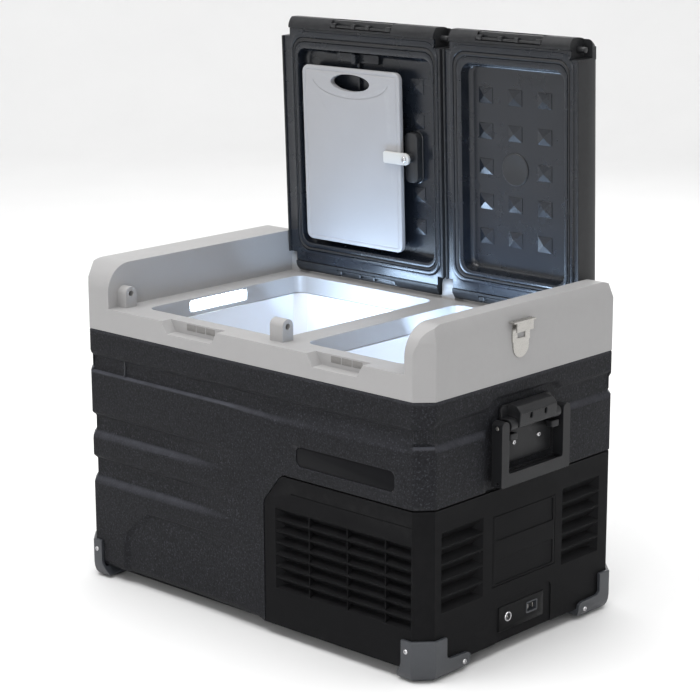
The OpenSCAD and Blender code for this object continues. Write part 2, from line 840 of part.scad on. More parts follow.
module lid_right_liner() {
    color("#303338") opened() difference() {
        union() {
            lid_liner(lid_right_x, latch_right, right_well, right_rim);
            lid_pads([disc_x - 51, disc_x, disc_x + 51]);
        }
        rod_z(disc_x, disc_y, [well_floor_z - 9, well_floor_z], disc_r + 1);
    }
}

module lid_left_gasket() {
    color("#1b1c1e") opened() lid_gasket(lid_left_x, left_well, left_rim);
}

module lid_right_gasket() {
    color("#1b1c1e") opened() lid_gasket(lid_right_x, right_well, right_rim);
}

module lid_left_foam() {
    color("#e6dfc4") opened() lid_foam(left_well);
}

module lid_right_foam() {
    color("#e6dfc4") opened() lid_foam(right_well);
}

module port_cover() {
    color("#3c3f44") opened() rod_z(disc_x, disc_y, [well_floor_z - 3, well_floor_z], disc_r);
}

module cutting_board() {
    hole_x = (board_x[0] + board_x[1]) / 2;
    hole_y = board_y[0] + 20;
    color("#b4b5b9") opened() difference() {
        round_block(board_x, board_y, [board_z, board_z + board_t], 11);
        for (s = [-1, 1])
            rod_z(hole_x + s * 26, hole_y, [board_z - e, board_z + board_t + e], 10);
        block([hole_x - 26, hole_x + 26], [hole_y - 10, hole_y + 10],
            [board_z - e, board_z + board_t + e]);
    }
}

module board_clip() {
    color("#d9d9d8") opened() difference() {
        union() {
            rod_z(clip_x, clip_y, [board_z - 5.3, board_z - 0.3], clip_w / 2);
            block([clip_x - clip_l + 6, clip_x],
                [clip_y - clip_w / 2, clip_y + clip_w / 2], [board_z - 5.3, board_z - 0.3]);
        }
        rod_z(clip_x, clip_y, [board_z - 6, board_z], 2.5 + run);
    }
}

module clip_screw() {
    color("#d5d6d8") opened() {
        rod_z(clip_x, clip_y, [board_z - 5.5, board_z], 2.5);
        rod_z(clip_x, clip_y, [board_z - 7.3, board_z - 5.35], 4.5);
    }
}

// Bar in a lid's edge that the fingers squeeze to draw the two pins of that edge
module latch_bar(x, s) {
    y = s < 0 ? [-lid_half + 0.5, -lid_half + latch_in - 0.5]
        : [lid_half - latch_in + 0.5, lid_half - 0.5];
    color("#232427") opened() difference() {
        block([x[0] + 0.6, x[1] - 0.6], y, [lid_z0 + 0.2, lid_z0 + latch_h]);
        edge_sweep(x);
        for (i = [-1:1])
            translate([(x[0] + x[1]) / 2 + 26 * i, 0, 0])
                block([-9, 9], s < 0 ? [y[0] + 3, y[1] + e] : [y[0] - e, y[1] - 3],
                    [lid_z0 - e, lid_z0 + 5]);
    }
}

// Pin that slides in a lid's guide and stands out of its notch
module lid_pin(x, side, s) {
    f = pin_faces(x);
    out = (x == lid_left_x) == (side == 0) ? 14 : 12.5;
    color("#2f3135") opened()
        rod_x(side == 0 ? [f[0] - out, f[0] + guide_l - 1] : [f[1] - guide_l + 1, f[1] + out],
            s * pin_y, pin_z, pin_r);
}

outer_shell();
top_frame();
machine_cover();
bottom_tray();
corner_protectors();
protector_screws();
liner_large();
liner_small();
insulation();
evaporator_coils();
compressor();
compressor_mounts();
condenser();
fan_shroud();
fan_rotor();
control_board();
refrigerant_pipes();
battery_bay();
battery_door();
socket_plate();
power_sockets();
control_panel();
display_window();
button(button_x[0]);  // button_power
button(button_x[1]);  // button_set
button(button_x[2]);  // button_up
button(button_x[3]);  // button_down
led_lamp();
bottle_opener();
badge_plate();
handle_right();
handle_left();
handle_brackets();
handle_pins();
handle_screws();
lid_left_shell();
lid_left_liner();
lid_left_gasket();
lid_left_foam();
lid_right_shell();
lid_right_liner();
lid_right_gasket();
lid_right_foam();
port_cover();
cutting_board();
board_clip();
clip_screw();
latch_bar(latch_left, -1);  // latch_left_front
latch_bar(latch_left, 1);  // latch_left_rear
latch_bar(latch_right, -1);  // latch_right_front
latch_bar(latch_right, 1);  // latch_right_rear
lid_pin(lid_left_x, 0, -1);  // pin_left_front_a
lid_pin(lid_left_x, 1, -1);  // pin_left_front_b
lid_pin(lid_left_x, 0, 1);  // pin_left_rear_a
lid_pin(lid_left_x, 1, 1);  // pin_left_rear_b
lid_pin(lid_right_x, 0, -1);  // pin_right_front_a
lid_pin(lid_right_x, 1, -1);  // pin_right_front_b
lid_pin(lid_right_x, 0, 1);  // pin_right_rear_a
lid_pin(lid_right_x, 1, 1);  // pin_right_rear_b
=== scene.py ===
"""Looks of a two-zone compressor cooler fridge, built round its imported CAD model.

Shapes are drawn in millimetres in the CAD frame and scaled to metres when a piece is made.
The origin is on the ground below the cabinet, the front face looks to -Y and the machine end to +X.
Lid pieces are drawn as on a shut lid and then swung open, which is how the fridge rests.
"""

import json
import math

import bmesh
import bpy
from mathutils import Matrix, Vector

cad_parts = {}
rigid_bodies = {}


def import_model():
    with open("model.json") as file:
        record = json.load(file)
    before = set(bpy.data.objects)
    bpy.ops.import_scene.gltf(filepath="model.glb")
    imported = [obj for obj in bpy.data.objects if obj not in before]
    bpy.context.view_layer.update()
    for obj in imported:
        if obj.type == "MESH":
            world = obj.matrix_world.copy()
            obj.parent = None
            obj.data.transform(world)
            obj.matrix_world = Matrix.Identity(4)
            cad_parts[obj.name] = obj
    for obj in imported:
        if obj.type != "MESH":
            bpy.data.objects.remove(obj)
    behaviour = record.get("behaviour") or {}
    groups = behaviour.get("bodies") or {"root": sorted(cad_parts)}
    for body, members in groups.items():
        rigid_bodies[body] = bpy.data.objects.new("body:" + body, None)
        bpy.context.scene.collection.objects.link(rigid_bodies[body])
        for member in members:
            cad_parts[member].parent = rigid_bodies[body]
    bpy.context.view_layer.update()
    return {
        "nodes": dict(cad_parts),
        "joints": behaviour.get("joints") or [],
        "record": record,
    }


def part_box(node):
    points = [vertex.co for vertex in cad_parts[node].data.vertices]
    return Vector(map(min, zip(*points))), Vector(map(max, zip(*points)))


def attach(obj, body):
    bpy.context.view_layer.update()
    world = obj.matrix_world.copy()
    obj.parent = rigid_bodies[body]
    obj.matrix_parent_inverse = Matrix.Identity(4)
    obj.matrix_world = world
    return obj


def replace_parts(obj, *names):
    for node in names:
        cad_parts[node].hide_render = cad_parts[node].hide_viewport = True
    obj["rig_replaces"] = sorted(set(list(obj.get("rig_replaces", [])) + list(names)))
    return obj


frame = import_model()
NODES = frame["nodes"]
JOINTS = {joint["name"]: joint for joint in frame["joints"]}
MM = 0.001


def span(node):
    """Lowest and highest corner of a CAD node, in millimetres."""
    low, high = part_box(node)
    return low / MM, high / MM


# ---- sizes, millimetres ----

SHELL_LOW, SHELL_HIGH = span("outer_shell")
HALF_L = SHELL_HIGH.x
HALF_W = SHELL_HIGH.y
GROUND_GAP = SHELL_LOW.z
FRAME_SEAM = SHELL_HIGH.z
CORNER_CUT = 21
COVER_SEAM = 231
COVER_LEFT = 41
COVER_SLOPE = (75, 189)      # x and z at the two ends of the cover's sloped corner
COVER_INSET = 1              # how far the cover lies inside the shell's outline
PIN = Vector(JOINTS["lid_left_hinge"]["pos_m"]) / MM
LID_ANGLE = math.radians(JOINTS["lid_left_hinge"]["range_deg"][1])
DECK = PIN.z - 20            # flat top of the frame, under the shut lids
HANDLE_Y = -4
PIVOT_Z = JOINTS["carry_handle_right_swing"]["pos_m"][2] / MM
PIVOT_X = JOINTS["carry_handle_right_swing"]["pos_m"][0] / MM

OPEN = (
    Matrix.Translation(PIN)
    @ Matrix.Rotation(-LID_ANGLE, 4, "X")
    @ Matrix.Translation(-PIN)
)
SAME = Matrix.Identity(4)
MIRROR_X = Matrix.Scale(-1, 4, (1, 0, 0))
MIRROR_Y = Matrix.Scale(-1, 4, (0, 1, 0))

# Plates are drawn lying down and stood on a face: u runs along it, v up it and w out of it.
ON_RIGHT = Matrix(((0, 0, 1, 0), (1, 0, 0, 0), (0, 1, 0, 0), (0, 0, 0, 1)))
ON_FRONT = Matrix(((1, 0, 0, 0), (0, 0, -1, 0), (0, 1, 0, 0), (0, 0, 0, 1)))
ON_REAR = Matrix(((-1, 0, 0, 0), (0, 0, 1, 0), (0, 1, 0, 0), (0, 0, 0, 1)))


# ---- mesh helpers ----

WELD = 0.00002               # metres within which vertices are one
SHARP_ANGLE = 35             # degrees from which an edge is drawn sharp
ROUND_STEPS = 5              # steps of the arc at a rounded corner


def smoothstep(low, high, value):
    """Rises smoothly from 0 to 1 between low and high, or falls if low is the greater."""
    t = min(1.0, max(0.0, (value - low) / (high - low)))
    return t * t * (3 - 2 * t)


def mix(a, b, share):
    """Value that lies a share of the way from a to b."""
    return a + (b - a) * share


def ring(x, y, z, r, steps=6):
    """Rectangle with round corners at height z, counter-clockwise."""
    points = []
    for i, (cx, cy) in enumerate(
        [(x[1] - r, y[1] - r), (x[0] + r, y[1] - r), (x[0] + r, y[0] + r), (x[1] - r, y[0] + r)]
    ):
        for k in range(steps + 1):
            a = math.pi / 2 * (i + k / steps)
            points.append(Vector((cx + r * math.cos(a), cy + r * math.sin(a), z)))
    return points


def circle(centre, r, z, steps=32):
    """Circle at height z, counter-clockwise."""
    return [
        Vector((centre[0] + r * math.cos(a), centre[1] + r * math.sin(a), z))
        for a in (2 * math.pi * k / steps for k in range(steps))
    ]


def loft(rings, ends=(True, True)):
    """Joins rings of one length into a tube, closed by a face at each end."""
    count = len(rings[0])
    verts = [p for points in rings for p in points]
    faces = []
    for i in range(len(rings) - 1):
        for k in range(count):
            a, b = i * count + k, i * count + (k + 1) % count
            faces.append((a, b, b + count, a + count))
    if ends[0]:
        faces.append(tuple(range(count - 1, -1, -1)))
    if ends[1]:
        faces.append(tuple(range((len(rings) - 1) * count, len(rings) * count)))
    return verts, faces


def tube(rings):
    """Joins rings into a closed loop, so that the last meets the first."""
    verts, faces = loft(rings, ends=(False, False))
    count = len(rings[0])
    last = (len(rings) - 1) * count
    faces += [(k, last + k, last + (k + 1) % count, (k + 1) % count) for k in range(count)]
    return verts, faces


def grown(pair, amount):
    """A span made longer by an amount at both ends."""
    return (pair[0] - amount, pair[1] + amount)


def one_side(side, near, far, middle=0):
    """Span between two distances from a middle, on its side -1 or 1."""
    return sorted((middle + side * near, middle + side * far))


def nested(x, y, r, levels):
    """Rings round one rectangle, each grown by an amount and set at a height."""
    return [ring(grown(x, g), grown(y, g), h, r + g) for g, h in levels]


def joined(*shapes):
    """Several (verts, faces) as one."""
    verts, faces = [], []
    for v, f in shapes:
        base = len(verts)
        verts += list(v)
        faces += [tuple(i + base for i in face) for face in f]
    return verts, faces


def moved(shape, matrix):
    """The shape (verts, faces) carried by a matrix."""
    return [matrix @ Vector(v) for v in shape[0]], shape[1]


def soft_block(x, y, z, r=2.0, f=1.0, steps=3):
    """Upright block with corner radius r and edges rounded over by f."""
    rings = []
    for side in (0, 1):
        for k in range(steps + 1):
            a = math.pi / 2 * (k / steps if side == 0 else 1 - k / steps)
            inset = f * (1 - math.sin(a))
            height = z[0] + f * (1 - math.cos(a)) if side == 0 else z[1] - f * (1 - math.cos(a))
            rings.append(
                ring((x[0] + inset, x[1] - inset), (y[0] + inset, y[1] - inset), height,
                     max(r - inset, 0.05), 4)
            )
    return loft(rings)


def rectangle(x, y):
    """Corners of a rectangle, counter-clockwise."""
    return [(x[0], y[0]), (x[1], y[0]), (x[1], y[1]), (x[0], y[1])]


def outline_prism(points, depth):
    """Extrudes an outline of (u, v) points from depth[0] to depth[1] along the third axis."""
    return loft([[Vector((u, v, d)) for u, v in points] for d in depth])


def plain_block(x, y, z):
    """Block with sharp edges, used to cut."""
    return outline_prism(rectangle(x, y), z)


def turned(profile, steps=32):
    """Turns a list of (height, radius) about +Z."""
    return loft([circle((0, 0), r, h, steps) for h, r in profile])


def rod(place, length, r, chamfer=0.6, steps=32):
    """Round pin along a placed axis, chamfered at both ends."""
    profile = [(0, r - chamfer), (chamfer, r), (length - chamfer, r), (length, r - chamfer)]
    return moved(turned(profile, steps), place)


def along_x(x, y, z):
    """Takes a shape turned about +Z to one that points along +X from a place."""
    return Matrix.Translation((x, y, z)) @ Matrix.Rotation(math.pi / 2, 4, "Y")


def along_y(x, y, z):
    """Takes a shape turned about +Z to one that points along +Y from a place."""
    return Matrix.Translation((x, y, z)) @ Matrix.Rotation(-math.pi / 2, 4, "X")


def on_right(x, y=0):
    """Takes a plate drawn lying down to the right end, its third axis starting at x."""
    return Matrix.Translation((x, y, 0)) @ ON_RIGHT


def screw_head(place, r):
    """Pan head of radius r with a hollow driver socket, on the third axis of a place."""
    profile = [
        (-1, r), (0.25 * r, r), (0.45 * r, 0.88 * r), (0.58 * r, 0.6 * r), (0.56 * r, 0.48 * r),
        (0.15 * r, 0.44 * r), (0.15 * r, 0.02),
    ]
    return moved(turned(profile, 24), place)


def arc(centre, r, start, end, steps=8):
    """Points of an arc between two angles in degrees."""
    return [
        (centre[0] + r * math.cos(math.radians(mix(start, end, k / steps))),
         centre[1] + r * math.sin(math.radians(mix(start, end, k / steps))))
        for k in range(steps + 1)
    ]


def rounded(points, radii, steps=ROUND_STEPS):
    """Replaces each corner of an outline by an arc, of one radius or of a radius each."""
    made = []
    for i, point in enumerate(points):
        here = Vector(point)
        before = (Vector(points[i - 1]) - here).normalized()
        after = (Vector(points[(i + 1) % len(points)]) - here).normalized()
        radius = radii[i] if isinstance(radii, (list, tuple)) else radii
        half = before.angle(after) / 2
        reach = radius / math.tan(half)
        centre = here + (before + after).normalized() * (radius / math.sin(half))
        start = here + before * reach - centre
        end = here + after * reach - centre
        for k in range(steps + 1):
            share = k / steps
            spoke = (start * (1 - share) + end * share).normalized() * radius
            made.append((centre + spoke).to_tuple())
    return made


def smoothed(mesh, sharp=SHARP_ANGLE):
    """Smooth faces, with sharp edges from an angle in degrees."""
    mesh.shade_smooth()
    mesh.set_sharp_from_angle(angle=math.radians(sharp))


def linked(name, data):
    """New object in the scene."""
    made = bpy.data.objects.new(name, data)
    bpy.context.scene.collection.objects.link(made)
    return made


def outward_mesh(name, shape, place, weld=False):
    """Mesh in metres from millimetre vertices, with its faces turned outwards."""
    verts, faces = shape
    mesh = bpy.data.meshes.new(name)
    mesh.from_pydata([(place @ Vector(v)) * MM for v in verts], [], faces)
    work = bmesh.new()
    work.from_mesh(mesh)
    if weld:
        bmesh.ops.remove_doubles(work, verts=work.verts, dist=WELD)
    bmesh.ops.recalc_face_normals(work, faces=work.faces)
    work.to_mesh(mesh)
    work.free()
    return mesh


def make(name, shape, body, slot, replaces=(), look=None, place=SAME, sharp=SHARP_ANGLE, bevel=0.0):
    """Makes a piece that rides on a body, in its slot's material unless another look is named."""
    mesh = outward_mesh(name, shape, place, weld=True)
    smoothed(mesh, sharp)
    piece = linked(name, mesh)
    mesh.materials.append(MATERIALS[look or slot])
    if bevel:
        add_bevel(piece, bevel)
    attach(piece, body)
    if replaces:
        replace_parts(piece, *replaces)
    return piece


def add_bevel(piece, width, angle=30, segments=2):
    """Rounds the sharp edges of a piece."""
    modifier = piece.modifiers.new("rounded edges", "BEVEL")
    modifier.width = width * MM
    modifier.segments = segments
    modifier.limit_method = "ANGLE"
    modifier.angle_limit = math.radians(angle)
    modifier.harden_normals = False


def cut(piece, shapes, operation="DIFFERENCE", place=SAME):
    """Cuts shapes out of a piece, or joins them to it, and keeps the result as its mesh."""
    for shape in shapes:
        mesh = outward_mesh("cutter", shape, place)
        tool = linked("cutter", mesh)
        modifier = piece.modifiers.new("cut", "BOOLEAN")
        modifier.operation = operation
        modifier.solver = "EXACT"
        modifier.object = tool
        keep_result(piece)
        bpy.data.objects.remove(tool)
        bpy.data.meshes.remove(mesh)


def keep_result(piece):
    """Replaces a piece's mesh by what its modifiers make of it."""
    graph = bpy.context.evaluated_depsgraph_get()
    mesh = bpy.data.meshes.new_from_object(piece.evaluated_get(graph))
    old = piece.data
    piece.modifiers.clear()
    piece.data = mesh
    bpy.data.meshes.remove(old)
    smoothed(mesh)


# ---- materials ----


class Surface:
    """Node tree of one material, with short calls for the nodes that every surface here uses."""

    def __init__(self, name, roughness, metallic=0.0, specular=0.5, coat=0.0, coat_roughness=0.1):
        self.material = bpy.data.materials.new(name)
        self.material.use_nodes = True
        self.tree = self.material.node_tree
        self.shader = self.tree.nodes["Principled BSDF"]
        self.shader.inputs["Roughness"].default_value = roughness
        self.shader.inputs["Metallic"].default_value = metallic
        self.shader.inputs["Specular IOR Level"].default_value = specular
        self.shader.inputs["Coat Weight"].default_value = coat
        self.shader.inputs["Coat Roughness"].default_value = coat_roughness
        self.place = self.node("ShaderNodeTexCoord").outputs["Object"]

    def node(self, kind, **values):
        """New node with some of its settings."""
        made = self.tree.nodes.new(kind)
        for key, value in values.items():
            setattr(made, key, value)
        return made

    def link(self, source, target):
        """Wires a socket to another."""
        self.tree.links.new(source, target)

    def stretched(self, factors):
        """The surface's coordinates, stretched along its axes."""
        mapping = self.node("ShaderNodeMapping")
        mapping.inputs["Scale"].default_value = factors
        self.link(self.place, mapping.inputs["Vector"])
        return mapping.outputs["Vector"]

    def noise(self, size, detail=2.0, place=None, roughness=0.55):
        """Noise whose blobs are about size millimetres across."""
        made = self.node("ShaderNodeTexNoise")
        made.inputs["Scale"].default_value = 1 / (size * MM)
        made.inputs["Detail"].default_value = detail
        made.inputs["Roughness"].default_value = roughness
        self.link(place or self.place, made.inputs["Vector"])
        return made.outputs["Fac"]

    def cells(self, size):
        """Soft cells about size millimetres across, as in moulded leather grain."""
        made = self.node("ShaderNodeTexVoronoi", feature="SMOOTH_F1")
        made.inputs["Scale"].default_value = 1 / (size * MM)
        self.link(self.place, made.inputs["Vector"])
        return made.outputs["Distance"]

    def spread(self, value, low, high, to_low=0.0, to_high=1.0):
        """Carries a value from one range to another."""
        made = self.node("ShaderNodeMapRange")
        numbers = {"From Min": low, "From Max": high, "To Min": to_low, "To Max": to_high}
        for key, number in numbers.items():
            made.inputs[key].default_value = number
        self.link(value, made.inputs["Value"])
        return made.outputs["Result"]

    def product(self, a, b):
        """Multiplies two sockets."""
        made = self.node("ShaderNodeMath", operation="MULTIPLY")
        self.link(a, made.inputs[0])
        self.link(b, made.inputs[1])
        return made.outputs["Value"]

    def blend(self, a, b, share):
        """Mixes two colours, each a tuple or a socket."""
        made = self.node("ShaderNodeMix", data_type="RGBA")
        for source, target in ((a, made.inputs["A"]), (b, made.inputs["B"])):
            if isinstance(source, tuple):
                target.default_value = (*source, 1)
            else:
                self.link(source, target)
        self.link(share, made.inputs["Factor"])
        return made.outputs["Result"]

    def edges(self, low=0.52, high=0.60):
        """One along sharp outer edges, where a moulding wears."""
        geometry = self.node("ShaderNodeNewGeometry")
        return self.spread(geometry.outputs["Pointiness"], low, high)

    def facing_up(self, low=0.2, high=1.0):
        """One on faces that look up while the fridge rests: where dust settles, and where the shell's grain
        gets its painted top light.
        """
        split = self.node("ShaderNodeSeparateXYZ")
        self.link(self.node("ShaderNodeTexCoord").outputs["Normal"], split.inputs["Vector"])
        return self.spread(split.outputs["Z"], low, high)

    def bump(self, height, depth, strength=1.0, onto=None):
        """Bump whose full height is depth millimetres."""
        made = self.node("ShaderNodeBump")
        made.inputs["Strength"].default_value = strength
        made.inputs["Distance"].default_value = depth * MM
        self.link(height, made.inputs["Height"])
        if onto is not None:
            self.link(onto, made.inputs["Normal"])
        return made.outputs["Normal"]

    def finish(self, colour, roughness=None, normal=None):
        """Wires the sockets to the shader and gives the material."""
        self.link(colour, self.shader.inputs["Base Color"])
        if roughness is not None:
            self.link(roughness, self.shader.inputs["Roughness"])
        if normal is not None:
            self.link(normal, self.shader.inputs["Normal"])
        return self.material


def shade(colour, factor):
    """A colour made lighter or darker by a factor."""
    return tuple(min(1.0, c * factor) for c in colour)


def moulded(name, colour, roughness, grain=0.6, depth=0.02, wear=0.25, dust=0.06, mottle=0.06, patchy=0.04,
            **shader):
    """Moulded plastic: fine grain, patchy gloss, paler worn edges and a little dust."""
    s = Surface(name, roughness, **shader)
    patches = s.spread(s.noise(70, 3), 0.3, 0.7)
    specks = s.spread(s.noise(grain, 3), 0.3, 0.7)
    base = s.blend(shade(colour, 1 - mottle), shade(colour, 1 + mottle), patches)
    base = s.blend(base, shade(colour, 1 + 3 * mottle), s.spread(specks, 0.55, 1.0, 0.0, 0.5))
    worn = s.product(s.edges(), s.spread(s.noise(9, 4), 0.35, 0.65, 0.0, wear))
    base = s.blend(base, tuple(min(1.0, c * 1.4 + 0.05) for c in colour), worn)
    dust_and_painted_top_light = s.product(s.facing_up(), s.spread(s.noise(25, 4), 0.4, 0.8, 0.0, dust))
    base = s.blend(base, tuple(mix(c, 0.42, 0.6) for c in colour), dust_and_painted_top_light)
    rough = s.spread(s.noise(30, 5), 0.25, 0.75, roughness - patchy, roughness + patchy)
    return s.finish(base, rough, s.bump(specks, depth, 0.8))


def leather_grain(name, colour, roughness):
    """Coarse moulded grain: raised pebbles between fine creases, with painted shade in the creases and
    painted top light on faces that look up.
    """
    s = Surface(name, roughness, specular=0.14)
    pebbles = s.spread(s.cells(3.0), 0.0, 0.75)
    fine = s.noise(2.4, 4, roughness=0.65)
    height = s.product(pebbles, s.spread(fine, 0.25, 0.75, 0.4, 1.0))
    patches = s.spread(s.noise(90, 3), 0.3, 0.7)
    base = s.blend(shade(colour, 0.92), shade(colour, 1.08), patches)
    base = s.blend(base, shade(colour, 5.0), s.spread(fine, 0.53, 0.68, 0.0, 0.85))
    # Painted shade: the creases between the pebbles are made darker.
    base = s.blend(base, shade(colour, 0.45), s.spread(pebbles, 0.45, 0.9, 0.0, 0.7))
    worn = s.product(s.edges(0.51, 0.57), s.spread(s.noise(6, 4), 0.3, 0.7, 0.0, 0.4))
    base = s.blend(base, tuple(c * 1.6 + 0.03 for c in colour), worn)
    # Painted top light: faces that look up are made up to six times lighter, as if lit from above, so that
    # the lower walls of the grooves read bright.
    dust_and_painted_top_light = s.product(s.facing_up(0.12, 0.75), s.spread(s.noise(25, 4), 0.3, 0.7, 0.45, 0.9))
    base = s.blend(base, shade(colour, 6.0), dust_and_painted_top_light)
    rough = s.spread(fine, 0.25, 0.75, roughness - 0.06, roughness + 0.10)
    return s.finish(base, rough, s.bump(height, 0.5, 0.8, onto=s.bump(s.noise(45, 2), 0.5, 0.2)))


def brushed(name, colour, roughness, along=(1, 1, 60)):
    """Brushed metal: streaks stretched along one direction, with small scratches."""
    s = Surface(name, roughness, metallic=1.0)
    streaks = s.noise(7, 4, s.stretched(along))
    base = s.blend(shade(colour, 0.78), shade(colour, 1.08), s.spread(streaks, 0.3, 0.7))
    base = s.blend(base, shade(colour, 0.6), s.spread(s.noise(12, 5), 0.62, 0.8, 0.0, 0.4))
    rough = s.spread(streaks, 0.3, 0.7, roughness - 0.06, roughness + 0.10)
    return s.finish(base, rough, s.bump(streaks, 0.02, 0.5))


def glowing(name, colour, strength):
    """Lit lamp diffuser, slightly uneven in brightness and gloss."""
    s = Surface(name, 0.3)
    ribs = s.noise(4, 2, s.stretched((0.2, 1, 0.2)))
    base = s.blend(shade(colour, 0.9), colour, s.spread(ribs, 0.3, 0.7))
    s.link(base, s.shader.inputs["Emission Color"])
    s.shader.inputs["Emission Strength"].default_value = strength
    return s.finish(base, s.spread(ribs, 0.3, 0.7, 0.25, 0.4), s.bump(ribs, 0.1, 0.5))


MATERIALS = {
    "shell_plastic": leather_grain("shell grain", (0.0096, 0.0100, 0.0120), 0.58),
    "frame_plastic": moulded(
        "frame satin", (0.295, 0.291, 0.291), 0.40, grain=0.9, depth=0.012, wear=0.10, dust=0.02,
        mottle=0.015),
    "cover_plastic": moulded(
        "cover black", (0.0062, 0.0062, 0.0068), 0.50, grain=0.9, depth=0.03, wear=0.10, dust=0.02,
        specular=0.05),
    "guard_plastic": moulded("guard slate", (0.034, 0.037, 0.043), 0.38, grain=0.9, dust=0.03),
    "lid_plastic": moulded(
        "lid satin", (0.016, 0.0165, 0.018), 0.44, grain=0.9, dust=0.03, patchy=0.02, specular=0.22),
    "lid_liner_plastic": moulded(
        "lid liner gloss", (0.0065, 0.0085, 0.0125), 0.27, grain=1.4, depth=0.003, wear=0.05, dust=0.0,
        patchy=0.012),
    "handle_plastic": moulded(
        "handle satin", (0.0095, 0.0098, 0.011), 0.42, grain=0.7, dust=0.03, specular=0.25),
    "black_plastic": moulded(
        "black satin", (0.0035, 0.0035, 0.004), 0.30, grain=0.7, depth=0.01, dust=0.02, specular=0.08),
    "white_liner": moulded(
        "white liner", (0.66, 0.68, 0.72), 0.32, grain=1.2, depth=0.005, wear=0.0, dust=0.0, mottle=0.008),
    "lamp_plastic": glowing("lamp diffuser", (0.72, 0.86, 1.0), 16.0),
    "board_plastic": moulded(
        "board stipple", (0.30, 0.30, 0.31), 0.48, grain=0.7, depth=0.03, wear=0.1, dust=0.0, mottle=0.015),
    "clip_plastic": moulded(
        "clip white", (0.47, 0.47, 0.46), 0.33, grain=0.9, depth=0.006, wear=0.05, mottle=0.02),
    "seal_rubber": moulded("seal rubber", (0.006, 0.006, 0.007), 0.60, grain=0.7, wear=0.05, dust=0.02),
    "mount_rubber": moulded("mount rubber", (0.012, 0.012, 0.012), 0.75, depth=0.03, wear=0.1),
    "foam": moulded("foam skin", (0.66, 0.60, 0.42), 0.85, grain=1.6, depth=0.2, wear=0.0),
    "bright_steel": brushed("opener steel", (0.50, 0.485, 0.46), 0.28),
    "screw_steel": brushed("screw steel", (0.62, 0.62, 0.63), 0.22, along=(30, 1, 1)),
    "pin_plastic": moulded("pin satin", (0.012, 0.0125, 0.014), 0.36, grain=0.7, depth=0.01, dust=0.02),
    "copper": brushed("copper tube", (0.72, 0.40, 0.24), 0.30, along=(1, 40, 1)),
    "fin_aluminium": brushed("fin aluminium", (0.60, 0.62, 0.65), 0.38, along=(40, 1, 1)),
    "compressor_paint": moulded(
        "compressor paint", (0.012, 0.012, 0.014), 0.30, grain=2.0, depth=0.05, coat=0.4),
    "board_green": moulded("solder mask", (0.02, 0.12, 0.05), 0.32, grain=1.5, wear=0.05),
    "display_glass": moulded(
        "display window", (0.004, 0.005, 0.008), 0.08, grain=3.0, depth=0.002, wear=0.0, dust=0.01, coat=1.0,
        coat_roughness=0.03),
    "catch_grey": moulded("catch grey", (0.17, 0.165, 0.16), 0.45, grain=0.9, depth=0.01, dust=0.0),
    "badge": moulded(
        "badge satin", (0.0064, 0.0066, 0.0076), 0.36, grain=1.0, depth=0.01, wear=0.0, dust=0.0, patchy=0.02,
        specular=0.05),
}


def carried(node, bevel):
    """Gives a CAD node that stays its material and even normals, and rounds its edges by a width."""
    piece = NODES[node]
    row = next(r for r in frame["record"]["subparts"] if r["node"] == node)
    piece.data.materials.clear()
    piece.data.materials.append(MATERIALS[row["material_slot"]])
    weld = piece.modifiers.new("joined corners", "WELD")
    weld.merge_threshold = WELD
    flat = piece.modifiers.new("whole faces", "DECIMATE")
    flat.decimate_type = "DISSOLVE"
    flat.angle_limit = math.radians(1)
    if bevel:
        add_bevel(piece, bevel)
    piece.data.shade_smooth()
    smooth = piece.modifiers.new("even normals", "WEIGHTED_NORMAL")
    smooth.keep_sharp = True


# ---- cabinet shell ----

MACHINE_OUTLINE = rounded(
    [(400, -20), (COVER_LEFT, -20), (COVER_LEFT, COVER_SLOPE[1]), (COVER_SLOPE[0], COVER_SEAM),
     (400, COVER_SEAM)],
    [0.1, 0.1, 16, 16, 0.1],
)
BADGE_X, BADGE_Z = (103, 274), (248, 275)
PANEL_X, PANEL_Z = (70, 220), (252, 302)      # window for the control panel in the rear face
GROOVE_TOP = (308, 334)
GROOVE_MIDDLE = (219, 246)
GROOVE_LOW = (152, 182)
END_GROOVE = (313, 341)
PRESSED_TOP = 117            # top of the panel pressed in below the grooves
BAY_TOP = 351                # top of the bay behind a carry handle
CREASES = (*GROOVE_TOP, *GROOVE_MIDDLE, *GROOVE_LOW, *END_GROOVE, PRESSED_TOP, BAY_TOP)
LONG_DEPTH = 6.2             # of the two lower grooves, front and rear
ROUND_DEPTH = 5.6            # of the same grooves round the left end
CORNER_ROUND = 5.0
ARC_POINTS = 4               # points on the round of each corner of the outline
OUTLINE_STEP = 5             # about how far apart the outline's other points are
FOLD = 5                     # how far a hole's edge is folded in
FOOT_ROUND = 15              # radius of the roll at the foot
PRESSED_LEFT, PRESSED_BEND = -242, 74      # left edge of the pressed panel, and where it starts to lean


def trench(z, low, high, depth, foot):
    """Depth of a groove whose upper wall is steep and whose lower wall runs out over foot."""
    return depth * smoothstep(high + 2, high - 4.5, z) * smoothstep(low - foot, low + 2, z)


def front_press(x, z):
    """How far the front and rear faces are pressed in."""
    fade = smoothstep(170, -60, x)
    top = trench(z, *GROOVE_TOP, 5.5, 1 + 14 * (1 - fade))
    top *= mix(smoothstep(GROOVE_TOP[0] - 16, GROOVE_TOP[1], z), 1, fade)
    middle = trench(z, *GROOVE_MIDDLE, LONG_DEPTH, 9) * smoothstep(10, -150, x)
    low = trench(z, *GROOVE_LOW, LONG_DEPTH, 10) * smoothstep(30, -150, x)
    left = PRESSED_LEFT + max(0, z - PRESSED_BEND) * 53 / 43
    inside = smoothstep(left, left + 3, x) * smoothstep(PRESSED_TOP + 2, PRESSED_TOP - 1, z)
    panel = 3.4 * inside * smoothstep(30, -110, x)
    return top + middle + low + panel


def side_grooves(z):
    """The two lower grooves where they run round the left end."""
    return trench(z, *GROOVE_MIDDLE, ROUND_DEPTH, 9) + trench(z, *GROOVE_LOW, ROUND_DEPTH, 10)


